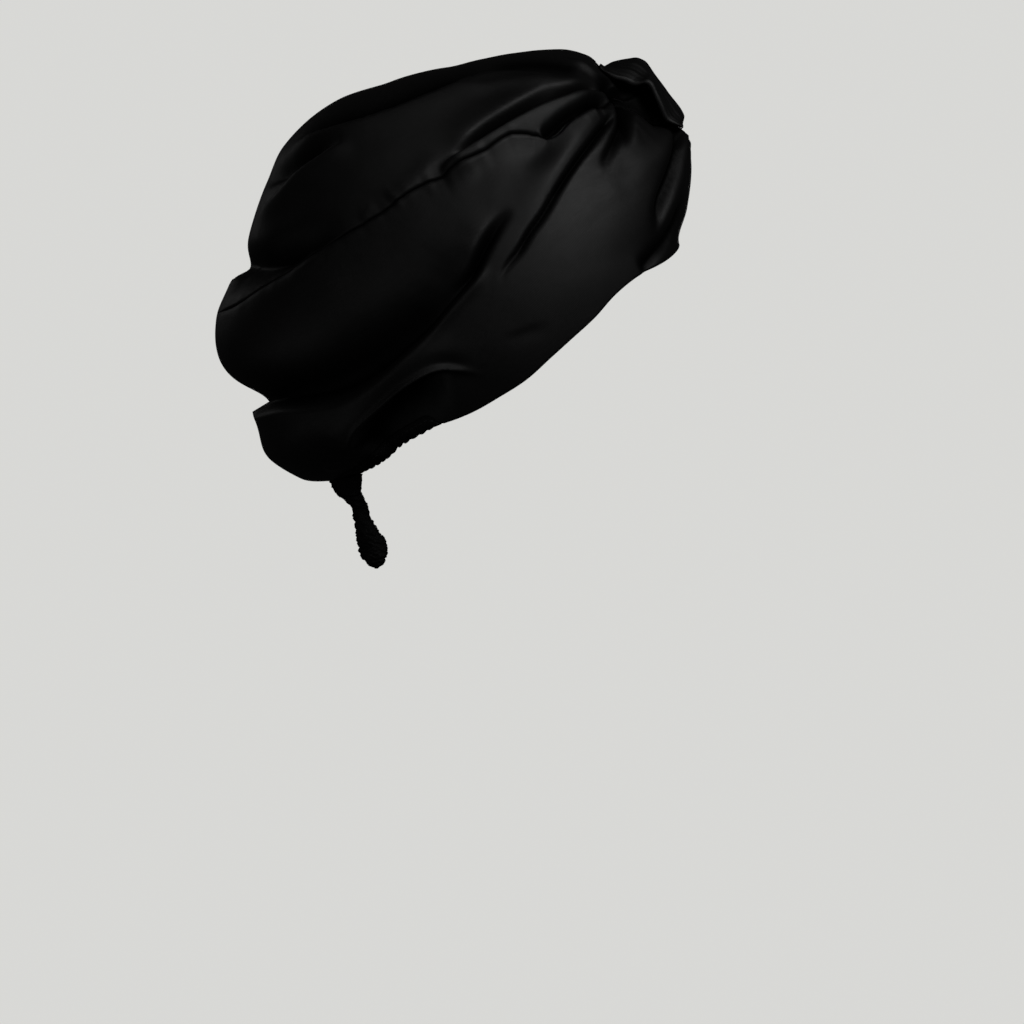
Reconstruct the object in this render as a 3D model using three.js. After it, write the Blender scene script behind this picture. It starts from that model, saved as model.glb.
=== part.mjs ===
// Silk bonnet with a front knot, full as it is worn. Millimetres, +Z up, +X towards the face,
// +Y to the wearer's left. The origin is the middle of the head hollow, where the bonnet sits.
import * as THREE from "three";

const WALL = 1.6;              // two layers of silk with their seam allowances
const GAP = 0.4;               // clear space between neighbouring pieces
const HALF_WIDTH = 84;         // middle plane to the fullest point over the ear
const SEAM_GROOVE = 2.2;       // how far the side seam draws the cloth in
const SEAM_REACH = 3.6;        // half width of that groove
const LEFT_SWAY = 3;           // degrees the folds of the left side sit further back
const LEFT_EASE = 0.88;        // folds of the left side, as a share of the right

const KNOT_WALL = 3;           // folded band of the knot
const KNOT_PLEAT = 0.8;        // depth of the pleats along the band
const KNOT_PLEATS = 5;

const CASING_TALL = 7.5;
const CASING_FULL = 0.9;       // how far the casing stands out from the cloth on each face
const CASING_RUFFLE = 1.3;
const CASING_GATHERS = 20;
const CASING_FROM = 10.6;      // row of the ribs where the casing begins, on either side

const SHIRR_RIBS = 7;          // ribs of gathered silk round the loop
const SHIRR_DEPTH = 0.5;

// Middle-plane outline of the full bonnet, face to crown to nape and under the head:
// angle in degrees from +X over the top, reach from the origin, and fullness of the
// section from the middle plane to the ear (2 is an ellipse, more is boxier).
const OUTLINE = [
  { angle: 16, reach: 104.5, fullness: 2.0 },
  { angle: 24, reach: 113, fullness: 2.0 },
  { angle: 34, reach: 126.5, fullness: 2.0 },
  { angle: 39, reach: 132, fullness: 2.0 },
  { angle: 45, reach: 127, fullness: 2.0 },
  { angle: 52, reach: 124, fullness: 2.0 },
  { angle: 58, reach: 126, fullness: 2.1 },
  { angle: 62, reach: 129.5, fullness: 2.1 },
  { angle: 66, reach: 132.5, fullness: 2.1 },
  { angle: 70, reach: 131.6, fullness: 2.1 },
  { angle: 76, reach: 127.8, fullness: 2.1 },
  { angle: 82, reach: 123.8, fullness: 2.1 },
  { angle: 90, reach: 119.3, fullness: 2.2 },
  { angle: 98, reach: 116.6, fullness: 2.2 },
  { angle: 112, reach: 117, fullness: 2.2 },
  { angle: 125, reach: 121.8, fullness: 2.2 },
  { angle: 134, reach: 123.6, fullness: 2.2 },
  { angle: 142, reach: 124, fullness: 2.2 },
  { angle: 151, reach: 121, fullness: 2.2 },
  { angle: 163, reach: 119.5, fullness: 2.2 },
  { angle: 171, reach: 121, fullness: 2.2 },
  { angle: 177, reach: 124.5, fullness: 2.2 },
  { angle: 184, reach: 129, fullness: 2.2 },
  { angle: 190, reach: 129.8, fullness: 2.2 },
  { angle: 197, reach: 129.5, fullness: 2.2 },
  { angle: 207, reach: 128, fullness: 2.2 },
  { angle: 214, reach: 127.5, fullness: 2.2 },
  { angle: 220, reach: 128, fullness: 2.2 },
  { angle: 225, reach: 126, fullness: 2.2 },
  { angle: 230, reach: 118, fullness: 2.2 },
  { angle: 235, reach: 106, fullness: 2.2 },
  { angle: 245, reach: 99, fullness: 2.2 },
  { angle: 270, reach: 100, fullness: 2.2 },
  { angle: 300, reach: 103, fullness: 2.1 },
  { angle: 340, reach: 103, fullness: 2.0 },
];

// Ribs of the right side from centre front to centre back. Each names, as seen from the side,
// its point on the seam, on the crease that crosses the side, and on the hem; spine is the
// angle of the middle plane that the crown's row across the top runs through.
const RIBS = [
  { seamX: 76, seamZ: 98, spine: 52, creaseX: 103, creaseZ: 74, hemX: 101, hemZ: 29 },
  { seamX: 69, seamZ: 98, spine: 54, creaseX: 92, creaseZ: 71, hemX: 90, hemZ: 19 },
  { seamX: 62, seamZ: 96, spine: 58, creaseX: 77, creaseZ: 68, hemX: 77, hemZ: 12 },
  { seamX: 54, seamZ: 93, spine: 63, creaseX: 63, creaseZ: 65, hemX: 66, hemZ: 3 },
  { seamX: 47, seamZ: 89, spine: 69, creaseX: 51, creaseZ: 60, hemX: 56, hemZ: -8 },
  { seamX: 36, seamZ: 79, spine: 76, creaseX: 39, creaseZ: 53, hemX: 45, hemZ: -18 },
  { seamX: 27, seamZ: 79, spine: 83, creaseX: 27, creaseZ: 48, hemX: 35, hemZ: -27 },
  { seamX: 15, seamZ: 77, spine: 92, creaseX: 16, creaseZ: 42, hemX: 24, hemZ: -37 },
  { seamX: 1, seamZ: 68, spine: 101, creaseX: 5, creaseZ: 29, hemX: 11, hemZ: -45.5 },
  { seamX: -14, seamZ: 61, spine: 110, creaseX: -3, creaseZ: 14, hemX: 0, hemZ: -52 },
  { seamX: -28, seamZ: 55, spine: 119, creaseX: -12, creaseZ: 2, hemX: -11, hemZ: -57 },
  { seamX: -43, seamZ: 45, spine: 128, creaseX: -24, creaseZ: -12, hemX: -21, hemZ: -61 },
  { seamX: -57, seamZ: 36, spine: 137, creaseX: -38, creaseZ: -23, hemX: -30, hemZ: -66 },
  { seamX: -72, seamZ: 28, spine: 146, creaseX: -53, creaseZ: -34, hemX: -38, hemZ: -71 },
  { seamX: -87, seamZ: 19, spine: 155, creaseX: -68, creaseZ: -42, hemX: -45, hemZ: -77 },
  { seamX: -102, seamZ: 9, spine: 164, creaseX: -83, creaseZ: -48, hemX: -51, hemZ: -81 },
  { seamX: -117, seamZ: -2, spine: 173, creaseX: -102, creaseZ: -51, hemX: -57, hemZ: -84.5 },
  { seamX: -132, seamZ: -7, spine: 183, creaseX: -119, creaseZ: -55, hemX: -61, hemZ: -88 },
];
const LAST_RIB = RIBS.length - 1;
const CROWN_FIRST = 1;         // ribs where the crown's side edge leaves its front edge
const CROWN_CORNER = 15;       // and turns into its back edge
const PER_RIB = [3, 3, 3, 3, 3, 3, 3, 3, 2, 2, 2, 2, 2, 2, 2, 6, 6];

// Folds of the right side, each along a route of points seen from the side, from the knot
// backwards or from the top down. rise is the height of a ridge, or less than nothing for a
// valley; upper and lower are its half widths on the two sides of the route; grow and fade
// are the shares of the route over which it starts and ends.
const FOLDS = [
  { name: "bag", rise: 4, upper: 26, lower: 20, grow: 0.4, fade: 0,
    route: [[-30, 12], [-60, -6], [-88, -16], [-112, -24], [-130, -26]] },
  { name: "lower roll", rise: 3, upper: 11, lower: 12, grow: 0.4, fade: 0,
    route: [[-4, -16], [-24, -22], [-42, -33], [-62, -49], [-84, -62], [-104, -76]] },
  { name: "crown crest valley", rise: -3.4, upper: 8, lower: 6, grow: 0.25, fade: 0.3,
    route: [[30, 112], [0, 110], [-19, 106], [-39, 99], [-53, 92], [-66, 87], [-79, 83]] },
  { name: "crown crest ridge", rise: 2.8, upper: 6, lower: 12, grow: 0.3, fade: 0.1,
    route: [[39, 107], [28, 108], [10, 108], [-19, 103], [-39, 94], [-58, 86], [-78, 79], [-98, 74]] },
  { name: "crown back valley", rise: -3.4, upper: 7, lower: 7, grow: 0.4, fade: 0,
    route: [[-62, 76], [-85, 68], [-97, 62], [-106, 57]] },
  { name: "crown back ridge", rise: 2.8, upper: 7, lower: 11, grow: 0.4, fade: 0.1,
    route: [[-62, 71], [-77, 63], [-92, 54], [-112, 42]] },
  { name: "knot top ridge", rise: 2, upper: 5, lower: 5, grow: 0.3, fade: 0.1,
    route: [[41, 121], [48, 116], [57, 110], [66, 105], [69, 101]] },
  { name: "crown fold one", rise: 2.4, upper: 7, lower: 7, grow: 0.15, fade: 0.4,
    route: [[59, 106], [39, 106], [20, 101], [5, 93], [-7, 83], [-16, 75]] },
  { name: "crown fold two valley", rise: -4.2, upper: 6.5, lower: 6, grow: 0.2, fade: 0.45,
    route: [[65, 105], [54, 105], [39, 101], [25, 95], [13, 89], [2, 82], [-7, 75]] },
  { name: "crown fold two", rise: 3.6, upper: 7, lower: 7, grow: 0.2, fade: 0.45,
    route: [[65, 103], [54, 102], [39, 97], [25, 89], [13, 81], [1, 72], [-11, 66]] },
  { name: "crown seam valley", rise: -4, upper: 6, lower: 5, grow: 0.15, fade: 0.3,
    route: [[68, 100], [57, 98], [47, 92], [39, 87], [35, 80]] },
  { name: "crown short ridge", rise: 1.6, upper: 7, lower: 5, grow: 0.4, fade: 0.1,
    route: [[-11, 74], [-23, 65], [-33, 55], [-42, 46]] },
  { name: "back seam valley", rise: -5.5, upper: 11, lower: 5, grow: 0.5, fade: 0,
    route: [[-62, 35], [-72, 30], [-84, 24], [-97, 19], [-110, 17], [-121, 16]] },
  { name: "gather pit", rise: -9, upper: 9, lower: 9, grow: 0, fade: 0,
    route: [[70, 99], [78, 95], [86, 90]] },
  { name: "gathered bundle", rise: 14, upper: 11, lower: 11, grow: 0.4, fade: 0.4,
    route: [[63, 114], [71, 107], [78, 100], [86, 96], [95, 92]] },
  { name: "side fold one", rise: 4, upper: 8, lower: 5.5, grow: 0.2, fade: 0.5,
    route: [[61, 94], [54, 88], [46, 79], [37, 67], [27, 55], [16, 38]] },
  { name: "side fold one valley", rise: -5, upper: 5.5, lower: 5, grow: 0.2, fade: 0.5,
    route: [[65, 92], [59, 85], [49, 72], [39, 56], [27, 39], [16, 22], [7, 8]] },
  { name: "side fold two", rise: 2.6, upper: 5.5, lower: 5.5, grow: 0.2, fade: 0.5,
    route: [[67, 92], [65, 86], [59, 78], [51, 66]] },
  { name: "side fold two valley", rise: -3.4, upper: 5, lower: 5, grow: 0.2, fade: 0.5,
    route: [[70, 95], [68, 86], [63, 77], [57, 66], [52, 54]] },
  { name: "side fold three", rise: 2.4, upper: 6, lower: 7, grow: 0.2, fade: 0.5,
    route: [[74, 93], [72, 83], [69, 71], [62, 55]] },
  { name: "front valley", rise: -3.8, upper: 6, lower: 6, grow: 0.1, fade: 0.25,
    route: [[92, 89], [96, 76], [94, 66], [90, 54], [85, 40], [81, 29], [77, 16]] },
  { name: "front roll", rise: 2, upper: 6, lower: 6, grow: 0.2, fade: 0.4,
    route: [[101, 79], [100, 64], [94, 49], [89, 35], [84, 26]] },
  { name: "hem roll", rise: -1.8, upper: 5, lower: 4, grow: 0.2, fade: 0.2,
    route: [[106, 48], [99, 41], [93, 32], [85, 24], [78, 18]] },
  { name: "shallow below seam", rise: -2.8, upper: 8, lower: 9, grow: 0.3, fade: 0.5,
    route: [[41, 78], [29, 71], [19, 64]] },
  { name: "crease", rise: -8.5, upper: 13, lower: 5, grow: 0.55, fade: 0,
    route: [[18, 44], [9, 37], [4, 27], [-2, 15], [-11, 3], [-23, -11], [-38, -23], [-52, -34],
      [-67, -42], [-82, -48], [-102, -51], [-119, -55]] },
  { name: "soft ridge", rise: 2.4, upper: 10, lower: 8, grow: 0.3, fade: 0.4,
    route: [[2, 44], [-6, 28], [-11, 14]] },
  { name: "soft valley", rise: -2.4, upper: 10, lower: 10, grow: 0.3, fade: 0.4,
    route: [[-15, 26], [-19, 10], [-24, 0]] },
  { name: "scoop ridge", rise: 3.4, upper: 10, lower: 6, grow: 0.4, fade: 0.2,
    route: [[0, -34], [-6, -31], [-15, -30], [-26, -35], [-38, -42], [-50, -52], [-58, -61], [-62, -72]] },
  { name: "scoop", rise: -8, upper: 8, lower: 10, grow: 0.45, fade: 0.2,
    route: [[2, -40], [-14, -43], [-33, -52], [-44, -62], [-52, -74]] },
  { name: "pouch lip", rise: 2, upper: 5, lower: 5, grow: 0.3, fade: 0.3,
    route: [[-78, -80], [-68, -81], [-57, -79]] },
];

// Arch of the knot in the middle plane, back tuck to front tuck: angle, reach of the top of
// the band, half width of the band, and how far its side edges hang below the top.
const KNOT = [
  { angle: 62.6, reach: 130.6, half: 15, drop: 0.5 },
  { angle: 60.8, reach: 135.4, half: 17, drop: 4 },
  { angle: 58.6, reach: 140.3, half: 18.5, drop: 7 },
  { angle: 56.7, reach: 143.8, half: 19, drop: 9 },
  { angle: 55.2, reach: 144.4, half: 19, drop: 9.5 },
  { angle: 52.8, reach: 142.4, half: 19, drop: 9 },
  { angle: 50.2, reach: 140.6, half: 19, drop: 8 },
  { angle: 46.9, reach: 139, half: 18, drop: 7 },
  { angle: 44, reach: 138.2, half: 16.5, drop: 5 },
  { angle: 42, reach: 136.8, half: 15, drop: 3 },
  { angle: 40.6, reach: 133.4, half: 13, drop: 0.5 },
];

// Rings of the tie from the nape down: height, middle, half size fore and aft, half size across.
const TAB_RINGS = [
  { z: -95, x: -66.3, fore: 6.8, across: 6.4 },
  { z: -100, x: -62.8, fore: 5.1, across: 4.8 },
  { z: -104, x: -60.1, fore: 4.2, across: 4 },
];
const TAB_ROOT = { x: -67.2, fore: 8.2, across: 8 };
const LOOP_RINGS = [
  { z: -104.4, x: -59.8, fore: 4.1, across: 3.8 },
  { z: -107.5, x: -59.6, fore: 4.2, across: 3.8 },
  { z: -111.5, x: -58, fore: 4.9, across: 4.2 },
  { z: -115, x: -56.7, fore: 5.7, across: 4.7 },
  { z: -120.5, x: -54.5, fore: 7.2, across: 5 },
  { z: -124.5, x: -53.6, fore: 7.4, across: 5 },
  { z: -129, x: -53.2, fore: 6.1, across: 4.4 },
  { z: -132.5, x: -52.3, fore: 3.4, across: 2.9 },
];
const LOOP_TIP = { z: -134.7, x: -52 };

const radians = THREE.MathUtils.degToRad;
const between = THREE.MathUtils.clamp;

// Share of the way from 0 to 1, eased at both ends.
function ease(share) {
  const t = between(share, 0, 1);
  return t * t * (3 - 2 * t);
}

// Value of one column of a table at an angle, without overshoot between the rows. A loop
// table closes on itself after a full turn.
function readTable(table, key, angle, loop) {
  const rows = table.map((row) => [row.angle, row[key]]);
  rows.sort((a, b) => a[0] - b[0]);
  let at = angle;
  if (loop) {
    const first = rows[0][0];
    at = THREE.MathUtils.euclideanModulo(angle - first, 360) + first;
    const before = rows.slice(-2).map(([a, v]) => [a - 360, v]);
    const after = rows.slice(0, 2).map(([a, v]) => [a + 360, v]);
    rows.unshift(...before);
    rows.push(...after);
  }
  const end = rows.length - 1;
  at = between(at, rows[0][0], rows[end][0]);
  const slope = (i) => (rows[i + 1][1] - rows[i][1]) / (rows[i + 1][0] - rows[i][0]);
  const lean = (i) => {
    if (i === 0 || i === end) {
      return 0;
    }
    const a = slope(i - 1);
    const b = slope(i);
    return a * b > 0 ? (2 * a * b) / (a + b) : 0;
  };
  let i = 0;
  while (i < end - 1 && at > rows[i + 1][0]) {
    i += 1;
  }
  const step = rows[i + 1][0] - rows[i][0];
  const t = (at - rows[i][0]) / step;
  const rest = 1 - t;
  return (1 + 2 * t) * rest * rest * rows[i][1] + t * rest * rest * step * lean(i)
    + t * t * (3 - 2 * t) * rows[i + 1][1] - t * t * rest * step * lean(i + 1);
}

const angleOf = (x, z) => THREE.MathUtils.radToDeg(Math.atan2(z, x));

// Reach of the full form, without folds, in a direction.
function fullReach(direction) {
  const angle = angleOf(direction.x, direction.z);
  const profile = readTable(OUTLINE, "reach", angle, true);
  const power = readTable(OUTLINE, "fullness", angle, true);
  const inPlane = Math.hypot(direction.x, direction.z) / profile;
  const across = Math.abs(direction.y) / HALF_WIDTH;
  return (inPlane ** power + across ** power) ** (-1 / power);
}

// Point of the full form's right side that is seen from the side at x, z.
function lift(x, z) {
  const angle = angleOf(x, z);
  const power = readTable(OUTLINE, "fullness", angle, true);
  const share = Math.hypot(x, z) / readTable(OUTLINE, "reach", angle, true);
  const across = share < 1 ? (1 - share ** power) ** (1 / power) : 0;
  return new THREE.Vector3(x, -HALF_WIDTH * across, z);
}

const mirrored = (point) => new THREE.Vector3(point.x, -point.y, point.z);

// Closed loop round the bonnet through one point of every rib, right side then left.
function ribLoop(keyX, keyZ) {
  const right = RIBS.map((rib) => lift(rib[keyX], rib[keyZ]));
  right[0].y = 0;
  right[LAST_RIB].y = 0;
  const left = right.slice(1, LAST_RIB).reverse().map(mirrored);
  return new THREE.CatmullRomCurve3([...right, ...left], true, "centripetal");
}

const seamLoop = ribLoop("seamX", "seamZ");
const creaseLoop = ribLoop("creaseX", "creaseZ");
const hemLoop = ribLoop("hemX", "hemZ");
const TURN = 2 * LAST_RIB;
const onLoop = (loop, row) => loop.getPoint(THREE.MathUtils.euclideanModulo(row / TURN, 1));

const foldLines = FOLDS.map((fold) => {
  const curve = new THREE.CatmullRomCurve3(fold.route.map(([x, z]) => lift(x, z)), false, "centripetal");
  return { ...fold, line: curve.getPoints(fold.route.length * 5) };
});
const seamLine = seamLoop.getPoints(TURN * 5);

// Nearest place on a line of points: distance, share of the way along, and the step there.
function nearest(line, point) {
  let best = { squared: Infinity, share: 0, index: 0 };
  for (let i = 0; i + 1 < line.length; i += 1) {
    const from = line[i];
    const dx = line[i + 1].x - from.x;
    const dy = line[i + 1].y - from.y;
    const dz = line[i + 1].z - from.z;
    const px = point.x - from.x;
    const py = point.y - from.y;
    const pz = point.z - from.z;
    const along = between((px * dx + py * dy + pz * dz) / (dx * dx + dy * dy + dz * dz), 0, 1);
    const squared = (px - along * dx) ** 2 + (py - along * dy) ** 2 + (pz - along * dz) ** 2;
    if (squared < best.squared) {
      best = { squared, share: (i + along) / (line.length - 1), index: i };
    }
  }
  return best;
}

// Height that one fold adds at a point of the full form's right side.
function foldHeight(fold, point) {
  const found = nearest(fold.line, point);
  const limit = 3 * Math.max(fold.upper, fold.lower);
  if (found.squared > limit * limit) {
    return 0;
  }
  const from = fold.line[found.index];
  const step = fold.line[found.index + 1].clone().sub(from);
  const down = point.clone().cross(step);
  const width = point.clone().sub(from).dot(down) > 0 ? fold.lower : fold.upper;
  const start = fold.grow > 0 ? ease(found.share / fold.grow) : 1;
  const end = fold.fade > 0 ? ease((1 - found.share) / fold.fade) : 1;
  return fold.rise * start * end * Math.exp(-found.squared / (width * width));
}

// Reach of the cloth's outer face in a direction, folds and seam included.
function reach(direction) {
  const whole = fullReach(direction);
  const point = direction.clone().multiplyScalar(whole);
  const seam = nearest(seamLine, point);
  let height = -SEAM_GROOVE * Math.exp(-seam.squared / SEAM_REACH ** 2);
  let share = 1;
  if (point.y > 0) {
    const sway = ease((point.y - 12) / 45) * ease((point.z + 10) / 50);
    share = 1 + (LEFT_EASE - 1) * sway;
    const turned = point.clone().applyAxisAngle(new THREE.Vector3(0, 1, 0), radians(-LEFT_SWAY * sway));
    turned.y = -turned.y;
    turned.normalize();
    point.copy(turned.multiplyScalar(fullReach(turned)));
  }
  for (const fold of foldLines) {
    height += share * foldHeight(fold, point);
  }
  return whole + height;
}

// Radial thickness that gives the wall its full thickness where the cloth runs aslant.
function wallAlong(direction, thickness) {
  const side = new THREE.Vector3(0, 1, 0).cross(direction).normalize();
  const other = direction.clone().cross(side);
  const small = 0.012;
  const here = reach(direction);
  const lean = [side, other].map((way) => {
    const moved = direction.clone().addScaledVector(way, small).normalize();
    return (reach(moved) - here) / (small * here);
  });
  return thickness * Math.min(Math.hypot(1, lean[0], lean[1]), 1.7);
}

// Closed solid between two faces over a grid of places. Each place is { outer, inner }, and a
// round grid joins its last row to its first. Each cell is split along the diagonal that lies
// nearer the cloth's true reach, or along the shorter one where none is given.
function shell(grid, round, trueReach) {
  const rows = grid.length;
  const cols = grid[0].length;
  const positions = [];
  for (const face of ["outer", "inner"]) {
    for (const row of grid) {
      for (const place of row) {
        positions.push(...place[face].toArray());
      }
    }
  }
  const outer = (i, j) => (i % rows) * cols + j;
  const inner = (i, j) => rows * cols + outer(i, j);
  const index = [];
  const quad = (a, b, c, d) => index.push(a, b, c, a, c, d);
  const corner = (i, j) => grid[i % rows][j].outer;
  const misfit = (from, to) => {
    const middle = from.clone().add(to).multiplyScalar(0.5);
    const length = middle.length();
    return trueReach ? Math.abs(length - trueReach(middle.normalize())) : from.distanceTo(to);
  };
  const steps = round ? rows : rows - 1;
  for (let i = 0; i < steps; i += 1) {
    for (let j = 0; j + 1 < cols; j += 1) {
      const rising = misfit(corner(i, j), corner(i + 1, j + 1));
      const falling = misfit(corner(i, j + 1), corner(i + 1, j));
      if (rising < falling) {
        quad(outer(i, j), outer(i, j + 1), outer(i + 1, j + 1), outer(i + 1, j));
        quad(inner(i, j), inner(i + 1, j), inner(i + 1, j + 1), inner(i, j + 1));
      } else {
        quad(outer(i, j + 1), outer(i + 1, j + 1), outer(i + 1, j), outer(i, j));
        quad(inner(i, j + 1), inner(i, j), inner(i + 1, j), inner(i + 1, j + 1));
      }
    }
    quad(outer(i, 0), outer(i + 1, 0), inner(i + 1, 0), inner(i, 0));
    quad(outer(i + 1, cols - 1), outer(i, cols - 1), inner(i, cols - 1), inner(i + 1, cols - 1));
  }
  if (!round) {
    for (let j = 0; j + 1 < cols; j += 1) {
      quad(outer(0, j + 1), outer(0, j), inner(0, j), inner(0, j + 1));
      quad(outer(rows - 1, j), outer(rows - 1, j + 1), inner(rows - 1, j + 1), inner(rows - 1, j));
    }
  }
  return solid(positions, index);
}

// Solid from points and triangles, turned so that its faces look outwards.
function solid(positions, index) {
  let volume = 0;
  const corner = (k) => new THREE.Vector3().fromArray(positions, 3 * index[k]);
  for (let k = 0; k < index.length; k += 3) {
    volume += corner(k).dot(corner(k + 1).cross(corner(k + 2)));
  }
  if (volume < 0) {
    for (let k = 0; k < index.length; k += 3) {
      [index[k], index[k + 1]] = [index[k + 1], index[k]];
    }
  }
  const geometry = new THREE.BufferGeometry();
  geometry.setAttribute("position", new THREE.Float32BufferAttribute(positions, 3));
  geometry.setIndex(index);
  geometry.computeVertexNormals();
  return geometry;
}

// Place of the cloth in a direction, as its outer and inner point.
function clothPlace(direction) {
  const out = reach(direction);
  return {
    outer: direction.clone().multiplyScalar(out),
    inner: direction.clone().multiplyScalar(out - wallAlong(direction, WALL)),
  };
}

// Height of the nape casing at a row of the ribs, tapering out at both of its ends.
function casingTall(row) {
  const fromBack = Math.abs(THREE.MathUtils.euclideanModulo(row, TURN) - LAST_RIB);
  return CASING_TALL * ease((LAST_RIB - CASING_FROM - fromBack) / 0.9);
}

// Direction on the side panel: row counts ribs round the bonnet, down runs 0 at the seam to 1
// at the crease and 2 at the hem, and extra is a further step towards the hem in millimetres.
function sideDirection(row, down, extra) {
  const top = down < 1 ? onLoop(seamLoop, row) : onLoop(creaseLoop, row);
  const bottom = down < 1 ? onLoop(creaseLoop, row) : onLoop(hemLoop, row);
  const way = bottom.clone().sub(top);
  const share = down < 1 ? down : down - 1;
  return top.addScaledVector(way, share + extra / way.length()).normalize();
}

// How far down the side panel runs at a row of the ribs, 2 where it reaches the hem itself.
function panelEnd(row) {
  const length = onLoop(hemLoop, row).distanceTo(onLoop(creaseLoop, row));
  const tall = casingTall(row);
  return tall > 0 ? 2 - (tall + GAP) / length : 2;
}

// Rows of the ribs from centre front to centre back at which both panels meet.
function ribRows() {
  const rows = [];
  PER_RIB.forEach((count, rib) => {
    for (let k = 0; k < count; k += 1) {
      rows.push(rib + k / count);
    }
  });
  return [...rows, LAST_RIB];
}

function sidePanel() {
  const above = [0, 0.18, 0.37, 0.56, 0.74, 0.9, 1];
  const below = [0.09, 0.22, 0.37, 0.53, 0.69, 0.85, 1];
  const right = ribRows();
  const left = right.slice(1, -1).reverse().map((row) => TURN - row);
  const grid = [...right, ...left].map((row) => {
    const upper = above.map((share) => {
      const inset = share === 0 ? GAP / 2 : 0;
      return sideDirection(row, Math.min(share, 0.9999), inset);
    });
    const lower = below.map((share) => sideDirection(row, 1 + share * (panelEnd(row) - 1), 0));
    return [...upper, ...lower].map(clothPlace);
  });
  return shell(grid, true, reach);
}

// Direction of the crown's edge at a row of the ribs, a little inside the seam.
function crownEdge(row, inset) {
  return sideDirection(row, 0, -inset);
}

// Direction of the crown's front edge, straight between the rows at which the panels meet.
function crownFront(row) {
  const rows = ribRows();
  const above = Math.max(rows.findIndex((each) => each >= row - 1e-9), 1);
  const [from, to] = [rows[above - 1], rows[above]];
  const [start, stop] = [from, to].map((each) => clothPlace(crownEdge(each, GAP / 2)).outer);
  return start.lerp(stop, (row - from) / (to - from)).normalize();
}

// Place of the crown across the top at a row of the ribs, v from -1 on the right to 1.
function crownAcross(row, v) {
  const share = (row - CROWN_FIRST) / (CROWN_CORNER - CROWN_FIRST);
  const low = Math.floor(row);
  const high = Math.min(low + 1, LAST_RIB);
  const rib = THREE.MathUtils.lerp(RIBS[low].spine, RIBS[high].spine, row - low);
  const ahead = (RIBS[0].spine - rib) * (1 - share) ** 4;
  const behind = (RIBS[LAST_RIB].spine - rib) * share ** 4;
  const spine = radians(rib + ahead + behind);
  const edge = crownEdge(row, GAP / 2);
  return new THREE.Vector3(
    Math.cos(spine) * (1 - v * v) + edge.x * v * v,
    -edge.y * v,
    Math.sin(spine) * (1 - v * v) + edge.z * v * v,
  );
}

function crownPanel() {
  const half = (LAST_RIB - CROWN_CORNER) * PER_RIB[CROWN_CORNER];
  const rows = ribRows().filter((row) => row >= CROWN_FIRST && row <= CROWN_CORNER);
  const grid = rows.map((row) => {
    const share = (row - CROWN_FIRST) / (CROWN_CORNER - CROWN_FIRST);
    const line = [];
    for (let j = -half; j <= half; j += 1) {
      const t = Math.abs(j) / half;
      const side = Math.sign(j);
      const v = side * (1 - (1 - t) ** 1.75);
      const front = crownFront(t * CROWN_FIRST);
      const back = crownEdge(LAST_RIB - t * (LAST_RIB - CROWN_CORNER), GAP / 2);
      front.y *= -side;
      back.y *= -side;
      const point = crownAcross(row, v);
      point.addScaledVector(front.sub(crownAcross(CROWN_FIRST, v)), (1 - share) ** 4);
      point.addScaledVector(back.sub(crownAcross(CROWN_CORNER, v)), share ** 4);
      line.push(clothPlace(point.normalize()));
    }
    return line;
  });
  return shell(grid, false, reach);
}

function frontKnot() {
  const rows = 18;
  const cols = 14;
  const from = KNOT[0].angle;
  const to = KNOT[KNOT.length - 1].angle;
  const grid = [];
  for (let i = 0; i <= rows; i += 1) {
    const angle = from + ((to - from) * i) / rows;
    const top = readTable(KNOT, "reach", angle, false);
    const half = readTable(KNOT, "half", angle, false);
    const drop = readTable(KNOT, "drop", angle, false);
    const line = [];
    for (let j = 0; j <= cols; j += 1) {
      const v = -1 + (2 * j) / cols;
      const direction = new THREE.Vector3(Math.cos(radians(angle)), (v * half) / top, Math.sin(radians(angle)));
      direction.normalize();
      const pleat = KNOT_PLEAT * ease(drop / 5) * Math.cos(Math.PI * KNOT_PLEATS * v);
      const floor = reach(direction) + GAP + 0.2;
      const wall = THREE.MathUtils.lerp(1.2, KNOT_WALL, ease(Math.min(i, rows - i) / 4));
      const low = Math.max(top - drop * Math.abs(v) ** 2.2 + pleat - wall, floor);
      line.push({
        outer: direction.clone().multiplyScalar(low + wall),
        inner: direction.clone().multiplyScalar(low),
      });
    }
    grid.push(line);
  }
  return shell(grid, false);
}

// Point of the panel's lower edge at a row of the ribs, on the straight line between its corners.
function panelEdge(row) {
  const near = row > LAST_RIB ? TURN - row : row;
  const rows = ribRows();
  const above = rows.findIndex((each) => each >= near - 1e-9);
  const [from, to] = [rows[Math.max(above - 1, 0)], rows[above]];
  const [start, stop] = [from, to].map((each) => clothPlace(sideDirection(each, panelEnd(each), 0)).outer);
  const point = start.lerp(stop, to > from ? (near - from) / (to - from) : 0);
  return row > LAST_RIB ? mirrored(point) : point;
}

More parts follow.
